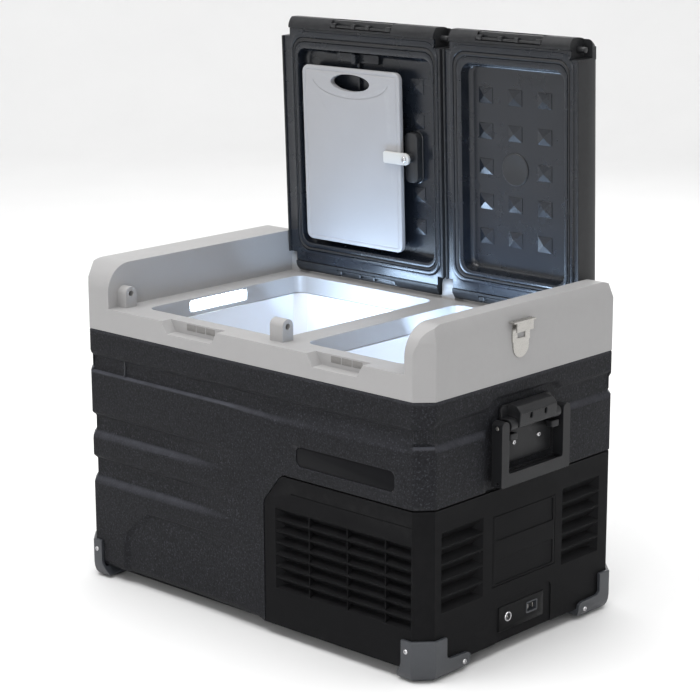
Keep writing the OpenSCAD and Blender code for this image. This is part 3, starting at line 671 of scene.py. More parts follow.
def end_press(y, z):
    """How far the two end faces are pressed in, with the bay behind the carry handle."""
    away = abs(y - HANDLE_Y)
    groove = trench(z, *END_GROOVE, 4.5, 10)
    half = 78 - 14 * smoothstep(BAY_TOP - 16, BAY_TOP, z)
    bay = 4.2 * smoothstep(half + 2, half - 2, away) * smoothstep(BAY_TOP + 2, BAY_TOP - 2, z)
    return max(groove * smoothstep(half - 4, half + 1, away), bay * smoothstep(205, 216, z))


def eight_corners(l, w, c):
    """Outline of a box of half length l and half width w with its corners cut off by c."""
    return [(-l + c, -w), (l - c, -w), (l, -w + c), (l, w - c),
            (l - c, w), (-l + c, w), (-l, w - c), (-l, -w + c)]


def shell_outline():
    """Points round the cabinet with the outward direction and face of each."""
    corners = eight_corners(HALF_L, HALF_W, CORNER_CUT)
    kinds = ["long", "corner", "end", "corner"] * 2
    reach = CORNER_ROUND * math.tan(math.pi / 8)
    points = []
    for i, start in enumerate(corners):
        along = Vector(corners[(i + 1) % 8]) - Vector(start)
        length = along.length
        along.normalize()
        out = Vector((along.y, -along.x))
        before = Vector(start) - Vector(corners[i - 1])
        before.normalize()
        centre = Vector(start) + along * reach - out * CORNER_ROUND
        old_out = Vector((before.y, -before.x))
        for k in range(ARC_POINTS):
            share = (k + 0.5) / ARC_POINTS
            spoke = (old_out * (1 - share) + out * share).normalized()
            points.append((centre + spoke * CORNER_ROUND, spoke, kinds[i], kinds[i - 1], share))
        count = max(2, round((length - 2 * reach) / OUTLINE_STEP))
        for k in range(count + 1):
            p = Vector(start) + along * mix(reach, length - reach, k / count)
            points.append((p, out, kinds[i], kinds[i], 1.0))
    return points


def press_at(kind, point, z):
    """How far the shell is pressed in at a point of one of its faces."""
    lower = side_grooves(z) if point.x < 0 else 0
    if kind == "long":
        return front_press(point.x, z)
    if kind == "end":
        return max(end_press(point.y, z), lower)
    top = trench(z, GROOVE_TOP[0] + 3, END_GROOVE[1] - 4, 3.0, 2) + trench(z, 311, 316, 2.5, 1)
    return top + lower


def shell_rows():
    """Heights of the shell's rows, close together at the creases."""
    rows = set()
    z = GROUND_GAP
    while z < FRAME_SEAM:
        near = any(abs(z - edge) < 7 for edge in CREASES)
        rows.add(round(z, 2))
        z += 1.5 if near or z < GROUND_GAP + 20 else 4.5
    rows.add(FRAME_SEAM)
    return sorted(rows)


def shell_body():
    """Skin of the cabinet, open above and below, with its soft grooves and pressed panels."""
    outline = shell_outline()
    rings = []
    for z in shell_rows():
        points = []
        for point, out, kind, kind_before, share in outline:
            press = press_at(kind, point, z)
            if kind_before != kind:
                press = mix(press_at(kind_before, point, z), press, share)
            below = max(0, FOOT_ROUND - (z - GROUND_GAP))
            roll = FOOT_ROUND - math.sqrt(FOOT_ROUND**2 - below**2)
            roll *= smoothstep(COVER_LEFT + 4, COVER_LEFT - 25, point.x) * 0.75
            top = 1.2 * smoothstep(FRAME_SEAM - 1.5, FRAME_SEAM, z)
            p = point - out * (press + roll + top)
            points.append(Vector((p.x, p.y, z)))
        rings.append(points)
    rim = [Vector((p.x * 0.985, p.y * 0.975, FRAME_SEAM)) for p in rings[-1]]
    foot = [Vector((p.x * 0.97, p.y * 0.95, GROUND_GAP + 0.5)) for p in rings[0]]
    piece = make("shell_body", loft([foot, *rings, rim], ends=(False, False)), "cabinet", "shell_plastic",
                 replaces=["outer_shell"], sharp=60)
    open_up(piece, machine_planes())
    x, z = grown(BADGE_X, 0.8), grown(BADGE_Z, 0.8)
    open_up(piece, window_planes(x, z, -1))
    open_up(piece, window_planes(PANEL_X, PANEL_Z, 1))
    add_bevel(piece, 0.9, 60)


def machine_planes():
    """Planes, each a point and an inward normal, that bound the machine cover's region."""
    lower_right = ROUND_STEPS + 1      # points of the corner that lies outside the cabinet
    edge = MACHINE_OUTLINE[lower_right:-1]
    planes = []
    for (x0, z0), (x1, z1) in zip(edge, edge[1:]):
        if math.hypot(x1 - x0, z1 - z0) > 0.5:
            planes.append((Vector((x0, 0, z0)), Vector((z1 - z0, 0, x0 - x1)).normalized()))
    return planes


def window_planes(x, z, side):
    """Planes round a rectangular window in the front or rear face."""
    return [
        (Vector((x[0], 0, 0)), Vector((1, 0, 0))),
        (Vector((x[1], 0, 0)), Vector((-1, 0, 0))),
        (Vector((0, 0, z[0])), Vector((0, 0, 1))),
        (Vector((0, 0, z[1])), Vector((0, 0, -1))),
        (Vector((0, 0, 0)), Vector((0, side, 0))),
    ]


def open_up(piece, planes):
    """Takes away the skin inside a set of planes, and folds the edge of the hole inwards."""
    work = bmesh.new()
    work.from_mesh(piece.data)
    for point, normal in planes:
        geometry = work.verts[:] + work.edges[:] + work.faces[:]
        bmesh.ops.bisect_plane(work, geom=geometry, dist=1e-6, plane_co=point * MM, plane_no=normal)
    gone = [
        face for face in work.faces
        if all((face.calc_center_median() - point * MM).dot(normal) > 0 for point, normal in planes)
    ]
    bmesh.ops.delete(work, geom=gone, context="FACES")
    border = [
        edge for edge in work.edges
        if edge.is_boundary and all(
            (vert.co - point * MM).dot(normal) > -1e-5 for vert in edge.verts for point, normal in planes
        )
    ]
    fold = bmesh.ops.extrude_edge_only(work, edges=border)["geom"]
    for vert in (v for v in fold if isinstance(v, bmesh.types.BMVert)):
        if abs(vert.co.x) > (HALF_L - 12) * MM:
            vert.co.x -= math.copysign(FOLD * MM, vert.co.x)
        if abs(vert.co.y) > (HALF_W - 25) * MM:
            vert.co.y -= math.copysign(FOLD * MM, vert.co.y)
    work.to_mesh(piece.data)
    work.free()
    smoothed(piece.data, 50)


def groove_stop():
    """Thin web across the top groove near its left end, in the paler guard plastic as a painted highlight."""
    y = -HALF_W
    web = rounded([(y + 1.5, 310), (y + 9, 308), (y + 9, 335), (y + 3, 333), (y + 4.2, 322)], [2, 1, 1, 2, 8])
    shape = moved(outline_prism(web, (-236.2, -235)), ON_RIGHT)
    # Painted highlight: the web takes the paler guard plastic instead of the shell's, so that it reads as a
    # bright edge.
    make("groove_stop", shape, "cabinet", "shell_plastic", look="guard_plastic", bevel=0.5)


def badge():
    """Blank name plate, let into the front face, and its rim."""
    y = HALF_W - 0.9
    plate = soft_block(BADGE_X, BADGE_Z, (y - 3, y), 8, 0.5, 2)
    make("badge_blank", moved(plate, ON_FRONT), "cabinet", "badge", replaces=["badge_plate"])
    deep, edge = HALF_W - 3, HALF_W - 0.3
    levels = ((1.6, deep, 1.2), (1.6, edge, 1.2), (1.2, HALF_W, 0.9), (0.4, edge, 8.3), (0.4, deep, 8.3))
    rim = [ring(grown(BADGE_X, g), grown(BADGE_Z, g), h, r) for g, h, r in levels]
    make("badge_rim", moved(tube(rim), ON_FRONT), "cabinet", "shell_plastic", sharp=60)


# ---- machine cover ----

LOUVRE_Z0 = 70               # foot of the lowest pleat, front and rear
LOUVRE_PITCH = 16.3
LOUVRE_ROWS = 7
LOUVRE_GAP = 1.6             # flat between two pleats
LOUVRE_FRONT = (62, 302)
LOUVRE_RIBS = (124, 192, 258)
LOUVRE_IN = 10.5             # depth of a pleat
END_LOUVRE_Z0 = 90
END_LOUVRE_PITCH = 22
END_LOUVRE_ROWS = 5
END_LOUVRE_GAP = 1.8
END_LOUVRE_Y = ((-170, -87), (80, 162))
COVER_WALL = 12.5
DOOR_Y, DOOR_Z = (-67, 64), (97, 193)
SOCKET_Y, SOCKET_Z = (-53, 42), (30, 65)
INLET, OUTLET_Y, OUTLET_Z = (-33, 48), (5, 29), (41, 57)
FACE = HALF_L - COVER_INSET                   # the cover's right face


def octagon(inset, z):
    """The cabinet's outline at height z, moved in by an inset."""
    corners = eight_corners(HALF_L - inset, HALF_W - inset, CORNER_CUT - inset * (2 - math.sqrt(2)))
    return [Vector((x, y, z)) for x, y in corners]


def louvre(u, z, ramp_low, ramp_high):
    """V groove along u, pressed in along the third axis, with ramps at its ends."""
    front = [(u[0], z[0]), (u[0], z[1]), (u[1], z[1]), (u[1], z[0])]
    middle = (z[0] * 0.62 + z[1] * 0.38)
    verts = [Vector((a, -1.0, b)) for a, b in front] + [Vector((a, 0.0, b)) for a, b in front]
    verts += [Vector((u[0] + ramp_low, LOUVRE_IN, middle)), Vector((u[1] - ramp_high, LOUVRE_IN, middle))]
    faces = [(0, 1, 2, 3), (0, 4, 5, 1), (1, 5, 6, 2), (2, 6, 7, 3), (3, 7, 4, 0),
             (4, 8, 5), (5, 8, 9, 6), (6, 9, 7), (7, 9, 8, 4)]
    return verts, faces


def vent_grooves():
    """Pleats of the front, rear and end vents."""
    grooves = []
    for row in range(LOUVRE_ROWS):
        base = LOUVRE_Z0 + row * LOUVRE_PITCH
        groove = louvre(LOUVRE_FRONT, (base, base + LOUVRE_PITCH - LOUVRE_GAP), 11, 1)
        groove = moved(groove, Matrix.Translation((0, COVER_INSET - HALF_W, 0)))
        grooves += [groove, moved(groove, MIRROR_Y)]
    end = Matrix.Translation((FACE, 0, 0)) @ Matrix.Rotation(math.pi / 2, 4, "Z")
    for row in range(END_LOUVRE_ROWS):
        base = END_LOUVRE_Z0 + row * END_LOUVRE_PITCH
        for y in END_LOUVRE_Y:
            grooves.append(moved(louvre(y, (base, base + END_LOUVRE_PITCH - END_LOUVRE_GAP), 1, 12), end))
    return grooves


def cover_cuts():
    """Everything that is cut out of the cover."""
    hollow = COVER_INSET + COVER_WALL
    out = HALF_W - COVER_INSET
    cuts = [loft([octagon(hollow, -20), octagon(hollow, 300)]), *vent_grooves()]
    pocket = outline_prism(rounded(rectangle((-60, 58), (-3, 75)), [1, 1, 9, 9]), (0, 20))
    cuts.append(moved(pocket, on_right(FACE - 1.4)))
    x = (HALF_L - 25, HALF_L + 5)
    cuts.append(plain_block(x, grown(DOOR_Y, 0.6), grown(DOOR_Z, 0.6)))
    cuts.append(plain_block(x, SOCKET_Y, SOCKET_Z))
    for side in (-1, 1):
        cuts.append(plain_block((92, 303), one_side(side, out - 0.8, out + 5), (206.5, 207.8)))
    return cuts


def cover_body():
    """Black cover round the machine room, with its pleated vents and their upright ribs."""
    high = COVER_SEAM
    rings = [octagon(COVER_INSET, GROUND_GAP), octagon(COVER_INSET, high - 2.6), octagon(4, high - 2.6),
             octagon(4, high - 0.3)]
    piece = make("cover_body", loft(rings), "cabinet", "cover_plastic", replaces=["machine_cover"], sharp=30)
    wide = HALF_W + 20
    region = outline_prism([(x + 0.9 * (x < 300), z) for x, z in MACHINE_OUTLINE], (-wide, wide))
    cut(piece, [moved(region, ON_FRONT)], "INTERSECT")
    cut(piece, cover_cuts())
    add_bevel(piece, 0.7, 25)
    top = LOUVRE_Z0 + LOUVRE_ROWS * LOUVRE_PITCH - LOUVRE_GAP
    out = HALF_W - COVER_INSET
    for side, label in ((-1, "front"), (1, "rear")):
        y = one_side(side, out - 0.3, out - LOUVRE_IN)
        blades = [soft_block((x - 0.8, x + 0.8), y, (LOUVRE_Z0, top), 0.6, 0.4, 2) for x in LOUVRE_RIBS]
        make(f"vent_ribs_{label}", joined(*blades), "cabinet", "cover_plastic")


def battery_door():
    """Hinged flap with two sunk panels, two hinge knuckles and two catches."""
    slab = moved(soft_block(DOOR_Y, DOOR_Z, (-3, 0), 1.5, 0.5, 2), on_right(FACE))
    piece = make("battery_flap", slab, "battery_door", "cover_plastic", replaces=["battery_door"])
    y = (DOOR_Y[0] + 5, DOOR_Y[1] - 4)
    sunk = []
    for z in ((DOOR_Z[0] + 3, 133), (159, DOOR_Z[1] - 2)):
        sunk.append(moved(outline_prism(rounded(rectangle(y, z), 3), (-1.3, 3)), on_right(FACE)))
    cut(piece, sunk)
    add_bevel(piece, 0.35, 40)
    extras = []
    catch_y = (DOOR_Y[1] - 2.6, DOOR_Y[1] - 0.8)
    for z in (DOOR_Z[0] + 14, DOOR_Z[1] - 14):
        hinge = rod(Matrix.Translation((FACE - 1.5, DOOR_Y[0] + 1.5, z - 7)), 14, 1.5, 0.3, 16)
        catch = soft_block((FACE - 1.6, FACE - 0.1), catch_y, (z - 5, z + 5), 0.4, 0.2, 2)
        extras += [hinge, catch]
    make("battery_flap_fittings", joined(*extras), "battery_door", "black_plastic")


def sockets():
    """Glossy plate with the round supply inlet and the rectangular outlet."""
    stand = on_right(FACE)
    plate = moved(soft_block(grown(SOCKET_Y, -0.3), grown(SOCKET_Z, -0.3), (-3, -0.2), 1.5, 0.4, 2), stand)
    piece = make("socket_panel", plate, "cabinet", "black_plastic",
                 replaces=["socket_plate", "power_sockets"])
    hole = outline_prism([(INLET[0] + p[0], INLET[1] + p[1]) for p in arc((0, 0), 7.2, 0, 345, 23)], (-8, 3))
    slot = outline_prism(rounded(rectangle(OUTLET_Y, OUTLET_Z), 1.5), (-8, 3))
    cut(piece, [moved(hole, stand), moved(slot, stand)])
    add_bevel(piece, 0.3, 40)
    place = along_x(FACE, *INLET)
    collar = turned([(-9, 7.0), (-0.6, 7.0), (0.3, 6.4), (0.5, 5.6), (0.1, 4.9), (-8, 4.6), (-8, 0.02)], 40)
    make("inlet_collar", moved(collar, place), "cabinet", "screw_steel")
    pin = turned([(-8, 1.2), (-1.6, 1.2), (-0.9, 0.7), (-0.8, 0.02)], 20)
    make("inlet_pin", moved(pin, place), "cabinet", "bright_steel")
    levels = ((0.9, -9), (0.9, 0.1), (0.4, 0.5), (-0.6, 0.5), (-1.2, -0.2), (-1.6, -7.5))
    cup = nested(grown(OUTLET_Y, -1), grown(OUTLET_Z, -1), 1.5, levels)
    make("outlet_cup", moved(loft(cup), stand), "cabinet", "guard_plastic")
    blades = [soft_block((x - 0.5, x + 0.5), (46, 52), (-8, -2.5), 0.3, 0.2, 2) for x in (12, 22)]
    make("outlet_blades", moved(joined(*blades), stand), "cabinet", "bright_steel")


GUARD_OUT = 4                # how far the guards stand proud of the cabinet
GUARD_SIDE = rounded(
    [(-216, -4), (-150, -4), (-116, 7), (-116, 23), (-123, 26), (-158, 27), (-163, 31), (-163, 80),
     (-216, 80)],
    [1, 12, 3, 3, 4, 3, 4, 1, 1],
)
GUARD_FRONT = rounded(
    [(276, 4), (300, -5), (350, -5), (350, 80), (289, 80), (289, 24)],
    [4, 12, 1, 1, 1, 14],
)
FRONT_SCREW = (298, 43)      # x and z on the front arm
END_SCREW = (-129, 15)       # y and z on the end arm
SCREW_R = 3.4                # of the heads on the guards and brackets


def guards():
    """Corner guards that stand proud of the cabinet and carry it on their feet."""
    foot = ((17, 0), (10, 1.2), (5.5, 4.2), (2.4, 9), (0.7, 15), (0, 22))
    top = ((0, 55.5), (0.8, 56.8), (1.6, 57))
    rings = [octagon(inset - GUARD_OUT, z) for inset, z in foot + top]
    masks = [
        moved(outline_prism(GUARD_SIDE, (-400, 400)), ON_RIGHT),
        moved(outline_prism(GUARD_FRONT, (100, 300)), ON_FRONT),
    ]
    upside_down = Matrix.Rotation(math.pi, 4, "X")
    for label, flip in (("front_right", SAME), ("front_left", MIRROR_X), ("rear_right", MIRROR_Y),
                        ("rear_left", MIRROR_X @ MIRROR_Y)):
        piece = make("guard_" + label, loft(rings), "cabinet", "guard_plastic")
        cut(piece, [moved(mask, flip) for mask in masks], "INTERSECT")
        cut(piece, [loft([octagon(0.4, GROUND_GAP), octagon(0.4, 90)])])
        add_bevel(piece, 1.0, 35, 3)
        if flip is SAME:
            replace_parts(piece, "corner_protectors", "protector_screws")
        x, z = FRONT_SCREW
        heads = [
            screw_head(flip @ along_y(x, -HALF_W - GUARD_OUT, z) @ upside_down, SCREW_R),
            screw_head(flip @ along_x(HALF_L + GUARD_OUT, *END_SCREW), SCREW_R),
        ]
        make("guard_screws_" + label, joined(*heads), "cabinet", "screw_steel")


# ---- lids ----

LID_Z0 = DECK + 1            # underside of a shut lid
LID_Z1 = LID_Z0 + 48         # its top
LID_HALF = 191               # half its width from front to rear
LID_WELL_Y = (-147, 145)
WELL_FLOOR = LID_Z0 + 18
SWEEP_R = 19.4               # radius about the pins of the lids' front and rear edges
LIDS = {
    "left": {"well": (-228, 32), "rim": (-12, 10), "notch": (15, 11.5), "latch": (-160, -44)},
    "right": {"well": (85, 263), "rim": (-21, 15), "notch": (11.5, 15), "latch": (112, 224)},
}
RIM_Y = (-24, 17)            # width of the sealing ridges, front and rear
NOTCH_Y = PIN.y - 12         # where the corner spaces for the bosses start
for side_name, lid in LIDS.items():
    low, high = span("lid_" + side_name + "_shell")
    lid["x"] = (low.x, high.x)


def lid_rim(lid, share):
    """Outline between the well's edge, at 0, and the outer edge of its ridge, at 1."""
    x = tuple(mix(lid["well"][i], lid["well"][i] + lid["rim"][i], share) for i in (0, 1))
    y = tuple(mix(LID_WELL_Y[i], LID_WELL_Y[i] + RIM_Y[i], share) for i in (0, 1))
    return x, y, 16 + 6 * share


def lid_notches(lid, grow=0.0):
    """Corner spaces that clear the bosses, open to the lid's edge."""
    x = lid["x"]
    left, right = lid["notch"]
    blocks = []
    for s in (-1, 1):
        y = one_side(s, NOTCH_Y - grow, LID_HALF + 3)
        for span_x in ((x[0] - 3, x[0] + left + grow), (x[1] - right - grow, x[1] + 3)):
            blocks.append(plain_block(span_x, y, (LID_Z0 - 3, DECK + 33 + grow)))
    return blocks


def latch_spaces(lid):
    """Spaces for the squeeze bars, open to the lid's front and rear."""
    z = (LID_Z0 - 3, LID_Z0 + 20.6)
    return [plain_block(lid["latch"], one_side(s, LID_HALF - 12, LID_HALF + 3), z) for s in (-1, 1)]


def lid_shell(side):
    """Outer moulding of a lid, rounded over, with its pin corners and latch spaces."""
    lid = LIDS[side]
    x = lid["x"]

    def level(inset_x, half_y, z, r):
        return ring((x[0] + inset_x, x[1] - inset_x), (-half_y, half_y), z, r)

    over, fall, turns = 21, 30, 10
    rings = [level(30, LID_HALF - 44, LID_Z1, 12), level(26, LID_HALF - 40, LID_Z1 - 0.4, 15),
             level(23, LID_HALF - 37, LID_Z1 - 2, 16)]
    for k in range(turns + 1):
        a = math.pi / 2 * k / turns
        drop = fall * (1 - math.cos(a))
        inset = over * (1 - math.sin(a))
        rings.append(level(inset * 0.35, LID_HALF - inset, LID_Z1 - 2 - drop, max(7 - inset * 0.2, 2)))
    for dy in (16, 14.6, 12.3, 9.3, 6.4, 3.9):
        z = PIN.z - math.sqrt(SWEEP_R**2 - dy**2)
        rings.append(level(0 if dy > 4 else 0.6, PIN.y + dy, z, 6 if dy > 9 else 3))
    rings.append(level(3, PIN.y + 0.5, LID_Z0 + 0.2, 2))
    rings += [level(3.2, PIN.y + 0.3, z, 2) for z in (LID_Z0 + 6, LID_Z1 - 8)]
    piece = make(f"lid_{side}_case", loft(rings), f"lid_{side}", "lid_plastic",
                 replaces=[f"lid_{side}_shell"], place=OPEN, sharp=30)
    height = (LID_Z0 + 5, LID_Z1 - 7)
    walls = [soft_block(wall_x, y, height, 1, 0.5) for wall_x, y in corner_walls(lid)]
    cut(piece, walls, "UNION", OPEN)
    cut(piece, lid_notches(lid) + latch_spaces(lid), "DIFFERENCE", OPEN)
    add_bevel(piece, 0.5, 40)


def corner_walls(lid):
    """Spans of the solid round each notch."""
    x = lid["x"]
    left, right = lid["notch"]
    found = []
    for s in (-1, 1):
        y = one_side(s, PIN.y - 15, PIN.y + 3)
        found.append(((x[0] + 1.5, x[0] + left + 2), y))
        found.append(((x[1] - right - 2, x[1] - 1.5), y))
    return found


def lid_liner(side):
    """Inner moulding of a lid: flange, sealing ridges and the well."""
    lid = LIDS[side]
    x = lid["x"]
    z = LID_Z0
    edge = ((x[0] + 3.3, x[1] - 3.3), (-PIN.y + 0.2, PIN.y - 0.2))

    def at(share, height, grow=0.0):
        px, py, r = lid_rim(lid, share)
        return ring(grown(px, grow), grown(py, grow), height, r + grow)

    front = [
        ring(*edge, z + 3.2, 2.5),
        ring(*edge, z + 2.2, 2.5),
        at(1, z + 2.0, 1.6), at(1, z + 1.6, 0.6), at(1, z + 0.3, 0.0), at(0.94, z - 0.4), at(0.80, z - 0.6),
        at(0.69, z - 0.5), at(0.66, z + 0.2), at(0.64, z + 2.2), at(0.40, z + 2.2), at(0.37, z + 0.2),
        at(0.33, z - 0.4), at(0.20, z - 0.6), at(0.08, z - 0.4), at(0.0, z + 0.6),
    ]
    front.append(at(0, z + 10.5, -2.0))
    turns, round_r = 6, 7
    for k in range(1, turns + 1):
        a = math.pi / 2 * k / turns
        depth = 18 - round_r * (1 - math.sin(a))
        front.append(at(0, z + depth, -(2.2 + round_r * (1 - math.cos(a)))))
    back = [at(0, WELL_FLOOR + 2.5, -8.0), at(0, WELL_FLOOR - 2, 0.5), at(0, z + 6, 2.2),
            ring(*edge, z + 5.6, 2.5)]
    shape = loft(front[::-1] + back[::-1])
    piece = make(f"lid_{side}_inner", shape, f"lid_{side}", "lid_liner_plastic",
                 replaces=[f"lid_{side}_liner"], place=OPEN, sharp=40)
    cut(piece, lid_notches(lid, 0.4) + latch_spaces(lid), "DIFFERENCE", OPEN)


def lid_seal(side):
    """Soft seal that lies in the groove between the two ridges."""
    lid = LIDS[side]
    lip = []
    for share, height in ((0.62, 2.3), (0.62, 0.4), (0.58, -0.5), (0.52, -0.9), (0.46, -0.5), (0.42, 0.4),
                          (0.42, 2.3)):
        x, y, r = lid_rim(lid, share)
        lip.append(ring(x, y, LID_Z0 + height, r))
    piece = make(f"lid_{side}_seal", tube(lip), f"lid_{side}", "seal_rubber", replaces=[f"lid_{side}_gasket"],
                 place=OPEN, sharp=50)
    cut(piece, lid_notches(lid, 0.4), "DIFFERENCE", OPEN)


PAD_SIZE = (24, 22)          # base of a stud
PAD_RISE = 4.2
PAD_PITCH = (51, 49.5)
PAD_CENTRE = (166, -3)       # middle of the right lid's studs, where its round cover sits
BOARD_X, BOARD_Y, BOARD_Z = (-215, -25), (-124, 136), (DECK - 3, DECK + 5)
CLIP_BLOCK_X, CLIP_BLOCK_Y = (-26, -2), (-39, 33)


def pyramid(x, y):
    """Four-sided stud that stands on the well floor, pointing out of the lid."""
    w, h = PAD_SIZE[0] / 2, PAD_SIZE[1] / 2
    low = [Vector((u, v, WELL_FLOOR + 0.5)) for u, v in rectangle((x - w, x + w), (y - h, y + h))]
    step = [Vector((p.x, p.y, WELL_FLOOR - 0.7)) for p in low]
    tip = [Vector((x + (p.x - x) * 0.04, y + (p.y - y) * 0.04, WELL_FLOOR - PAD_RISE)) for p in low]
    return loft([low, step, tip])


def lid_studs():
    """Pyramid studs in the wells of both lids, and the round cover amid the right lid's."""
    right = [
        pyramid(PAD_CENTRE[0] + PAD_PITCH[0] * i, PAD_CENTRE[1] + PAD_PITCH[1] * j)
        for i in (-1, 0, 1) for j in range(-2, 3) if (i, j) != (0, 0)
    ]
    left = [pyramid(-10, y) for y in (-104, -55, 51, 98)]
    for side, studs in (("right", right), ("left", left)):
        make(f"lid_{side}_studs", joined(*studs), f"lid_{side}", "lid_liner_plastic", place=OPEN, sharp=5,
             bevel=0.25)
    disc = turned([(0.5, 22.4), (-0.9, 22.6), (-1.5, 22.0), (-1.7, 20.8), (-1.3, 19.4), (-1.4, 0.3)], 64)
    make("port_cover_disc", moved(disc, Matrix.Translation((*PAD_CENTRE, WELL_FLOOR))), "lid_right",
         "pin_plastic", replaces=["port_cover"], place=OPEN)


def oval(centre, reach, steps):
    """Points of an ellipse at some of the 48 steps of its full turn."""
    angles = [2 * math.pi * k / 48 for k in steps]
    return [(centre[0] + reach[0] * math.cos(a), centre[1] + reach[1] * math.sin(a)) for a in angles]


def board():
    """Cutting board: rounded edges, juice groove, an oval hole and a curved line below it."""
    low, high = BOARD_Z

    def at(inset, height):
        return ring(grown(BOARD_X, -inset), grown(BOARD_Y, -inset), height, max(11.0 - inset, 3))

    face = ((8.6, 0), (7.8, 0.1), (7.0, 0.7), (6.0, 0.7), (5.2, 0.1), (4.4, 0), (1.6, 0), (0.6, 0.4),
            (0.1, 1.4), (0, 3))
    back = ((0, 3), (0.3, 1.2), (1.4, 0.2), (3, 0))
    rings = [at(inset, low + h) for inset, h in face] + [at(inset, high - h) for inset, h in back]
    piece = make("board_slab", loft(rings), "lid_left", "board_plastic", replaces=["cutting_board"],
                 place=OPEN, sharp=40)
    cx, cy = (BOARD_X[0] + BOARD_X[1]) / 2, BOARD_Y[0] + 21
    hole = outline_prism(oval((cx, cy), (38, 12.5), range(48)), (low - 3, high + 3))
    line = oval((cx, cy - 4), (74, 27), range(1, 24))
    line += [(px * 0.99 + cx * 0.01, py - 0.9) for px, py in line[::-1]]
    cut(piece, [hole, outline_prism(line, (low - 1, low + 0.5))], "DIFFERENCE", OPEN)
    add_bevel(piece, 0.8, 50, 3)


def clip():
    """White swivel clip that holds the board, its screw and the black block it stands on."""
    pivot = Vector(JOINTS["board_clip_swivel"]["pos_m"]) / MM
    shut = OPEN.inverted() @ pivot
    x, y = shut.x, shut.y
    z = (DECK - 8.3, DECK - 3.4)
    half = 8.5
    outline = arc((x, y), half, -90, 90, 14)
    outline += [(x - 38, y + half), (x - 40, y + half - 2), (x - 40, y - half + 2), (x - 38, y - half)]
    rings = []
    for inset, h in ((1.2, z[0]), (0.4, z[0] + 0.3), (0, z[0] + 1), (0, z[1] - 0.8), (0.6, z[1])):
        along, across = 1 - inset / 26, 1 - inset / half
        rings.append([
            Vector((x - 14 + (px - x + 14) * along, y + (py - y) * across, h)) for px, py in outline
        ])
    piece = make("clip_arm", loft(rings), "board_clip", "clip_plastic", replaces=["board_clip"], place=OPEN,
                 sharp=40)
    cut(piece, [loft([circle((x, y), 2.8, h) for h in (z[0] - 2, z[1] + 2)])], "DIFFERENCE", OPEN)
    head = Matrix.Translation((x, y, z[0] - 0.1)) @ Matrix.Rotation(math.pi, 4, "X")
    shank = loft([circle((x, y), 2.4, h, 24) for h in (z[0] - 0.2, DECK)])
    make("clip_screw_head", joined(screw_head(head, 4.4), shank), "lid_left", "screw_steel",
         replaces=["clip_screw"], place=OPEN)
    levels = ((-1.6, DECK + 7), (-0.5, DECK + 7.4), (0, DECK + 8.5), (0, WELL_FLOOR + 1))
    block = loft(nested(CLIP_BLOCK_X, CLIP_BLOCK_Y, 9, levels))
    make("clip_block", block, "lid_left", "pin_plastic", place=OPEN, sharp=40)
    post = moved(turned([(0, 6.6), (12, 6.6)]), Matrix.Translation((x, y, DECK - 3)))
    make("clip_post", post, "lid_left", "pin_plastic", place=OPEN)
    z0 = WELL_FLOOR
    levels = ((2.2, z0 + 0.5), (2.2, z0 - 1.6), (1.2, z0 - 2.2), (0.5, z0 - 0.2))
    rim = tube(nested(CLIP_BLOCK_X, CLIP_BLOCK_Y, 9, levels))
    make("clip_block_rim", rim, "lid_left", "lid_liner_plastic", place=OPEN, sharp=40)


def board_hooks():
    """Two hooks in the left wall of the well and a tab in its front wall, that hold the board's edge."""
    wall = LIDS["left"]["well"][0]
    front = LID_WELL_Y[0]
    root = WELL_FLOOR + 1
    hooks = []
    for y in ((-81, -49), (49, 85)):
        hooks.append(soft_block((wall + 2, wall + 14), y, (DECK + 9, root), 3, 1.5))
        hooks.append(soft_block((wall + 2, wall + 17), grown(y, -4), (DECK + 5.5, DECK + 9.5), 3, 1.5))
    middle = -118
    for half, z in ((40, DECK + 13), (4, DECK + 3)):
        hooks.append(soft_block((middle - half, middle + half), (front + 3, front + 17), (z, root), 2, 1.2))
    hooks.append(soft_block((middle - 2, middle + 2), (front + 10, front + 60), (DECK + 14, root), 1, 0.8))
    make("board_hooks", joined(*hooks), "lid_left", "lid_liner_plastic", place=OPEN, sharp=40)


def lid_pins():
    """Eight sliding pins, each chamfered at its ends and with a shallow ring groove."""
    chamfer, groove = 1.2, 0.3
    for node in list(NODES):
        if not node.startswith("pin_"):
            continue
        low, high = span(node)
        centre = (low + high) / 2
        r = (high.y - low.y) / 2
        length = high.x - low.x
        profile = [
            (0, r - chamfer), (chamfer, r), (length * 0.33, r), (length * 0.33 + groove, r - groove),
            (length * 0.37, r - groove), (length * 0.37 + groove, r), (length - chamfer, r),
            (length, r - chamfer),
        ]
        shape = moved(turned(profile), along_x(low.x, centre.y, centre.z))
        make(node + "_rod", shape, node, "pin_plastic", replaces=[node])


def latches():
    """Squeeze bars, each with three finger slots between four posts."""
    for side, lid in LIDS.items():
        for edge, s in (("front", -1), ("rear", 1)):
            name = f"latch_{side}_{edge}"
            x = grown(lid["latch"], -0.6)
            middle = (x[0] + x[1]) / 2
            bar_y = one_side(s, LID_HALF - 11.5, LID_HALF - 0.4)
            bar = soft_block(x, bar_y, (LID_Z0 + 7, LID_Z0 + 14), 1.5, 1.0)
            rail_y = one_side(s, LID_HALF - 11, PIN.y + 8.5)
            rail = soft_block(x, rail_y, (LID_Z0 + 2.2, LID_Z0 + 5.4), 1, 0.6)
            post_y = one_side(s, LID_HALF - 11, LID_HALF - 4.5)
            posts = [
                soft_block(post_x, post_y, (LID_Z0 + 0.6, LID_Z0 + 9), 1, 0.6)
                for post_x in ((x[0], x[0] + 9), (middle - 17, middle - 11), (middle + 11, middle + 17),
                               (x[1] - 9, x[1]))
            ]
            make(name + "_bar", joined(bar, rail, *posts), name, "pin_plastic", replaces=[name], place=OPEN)
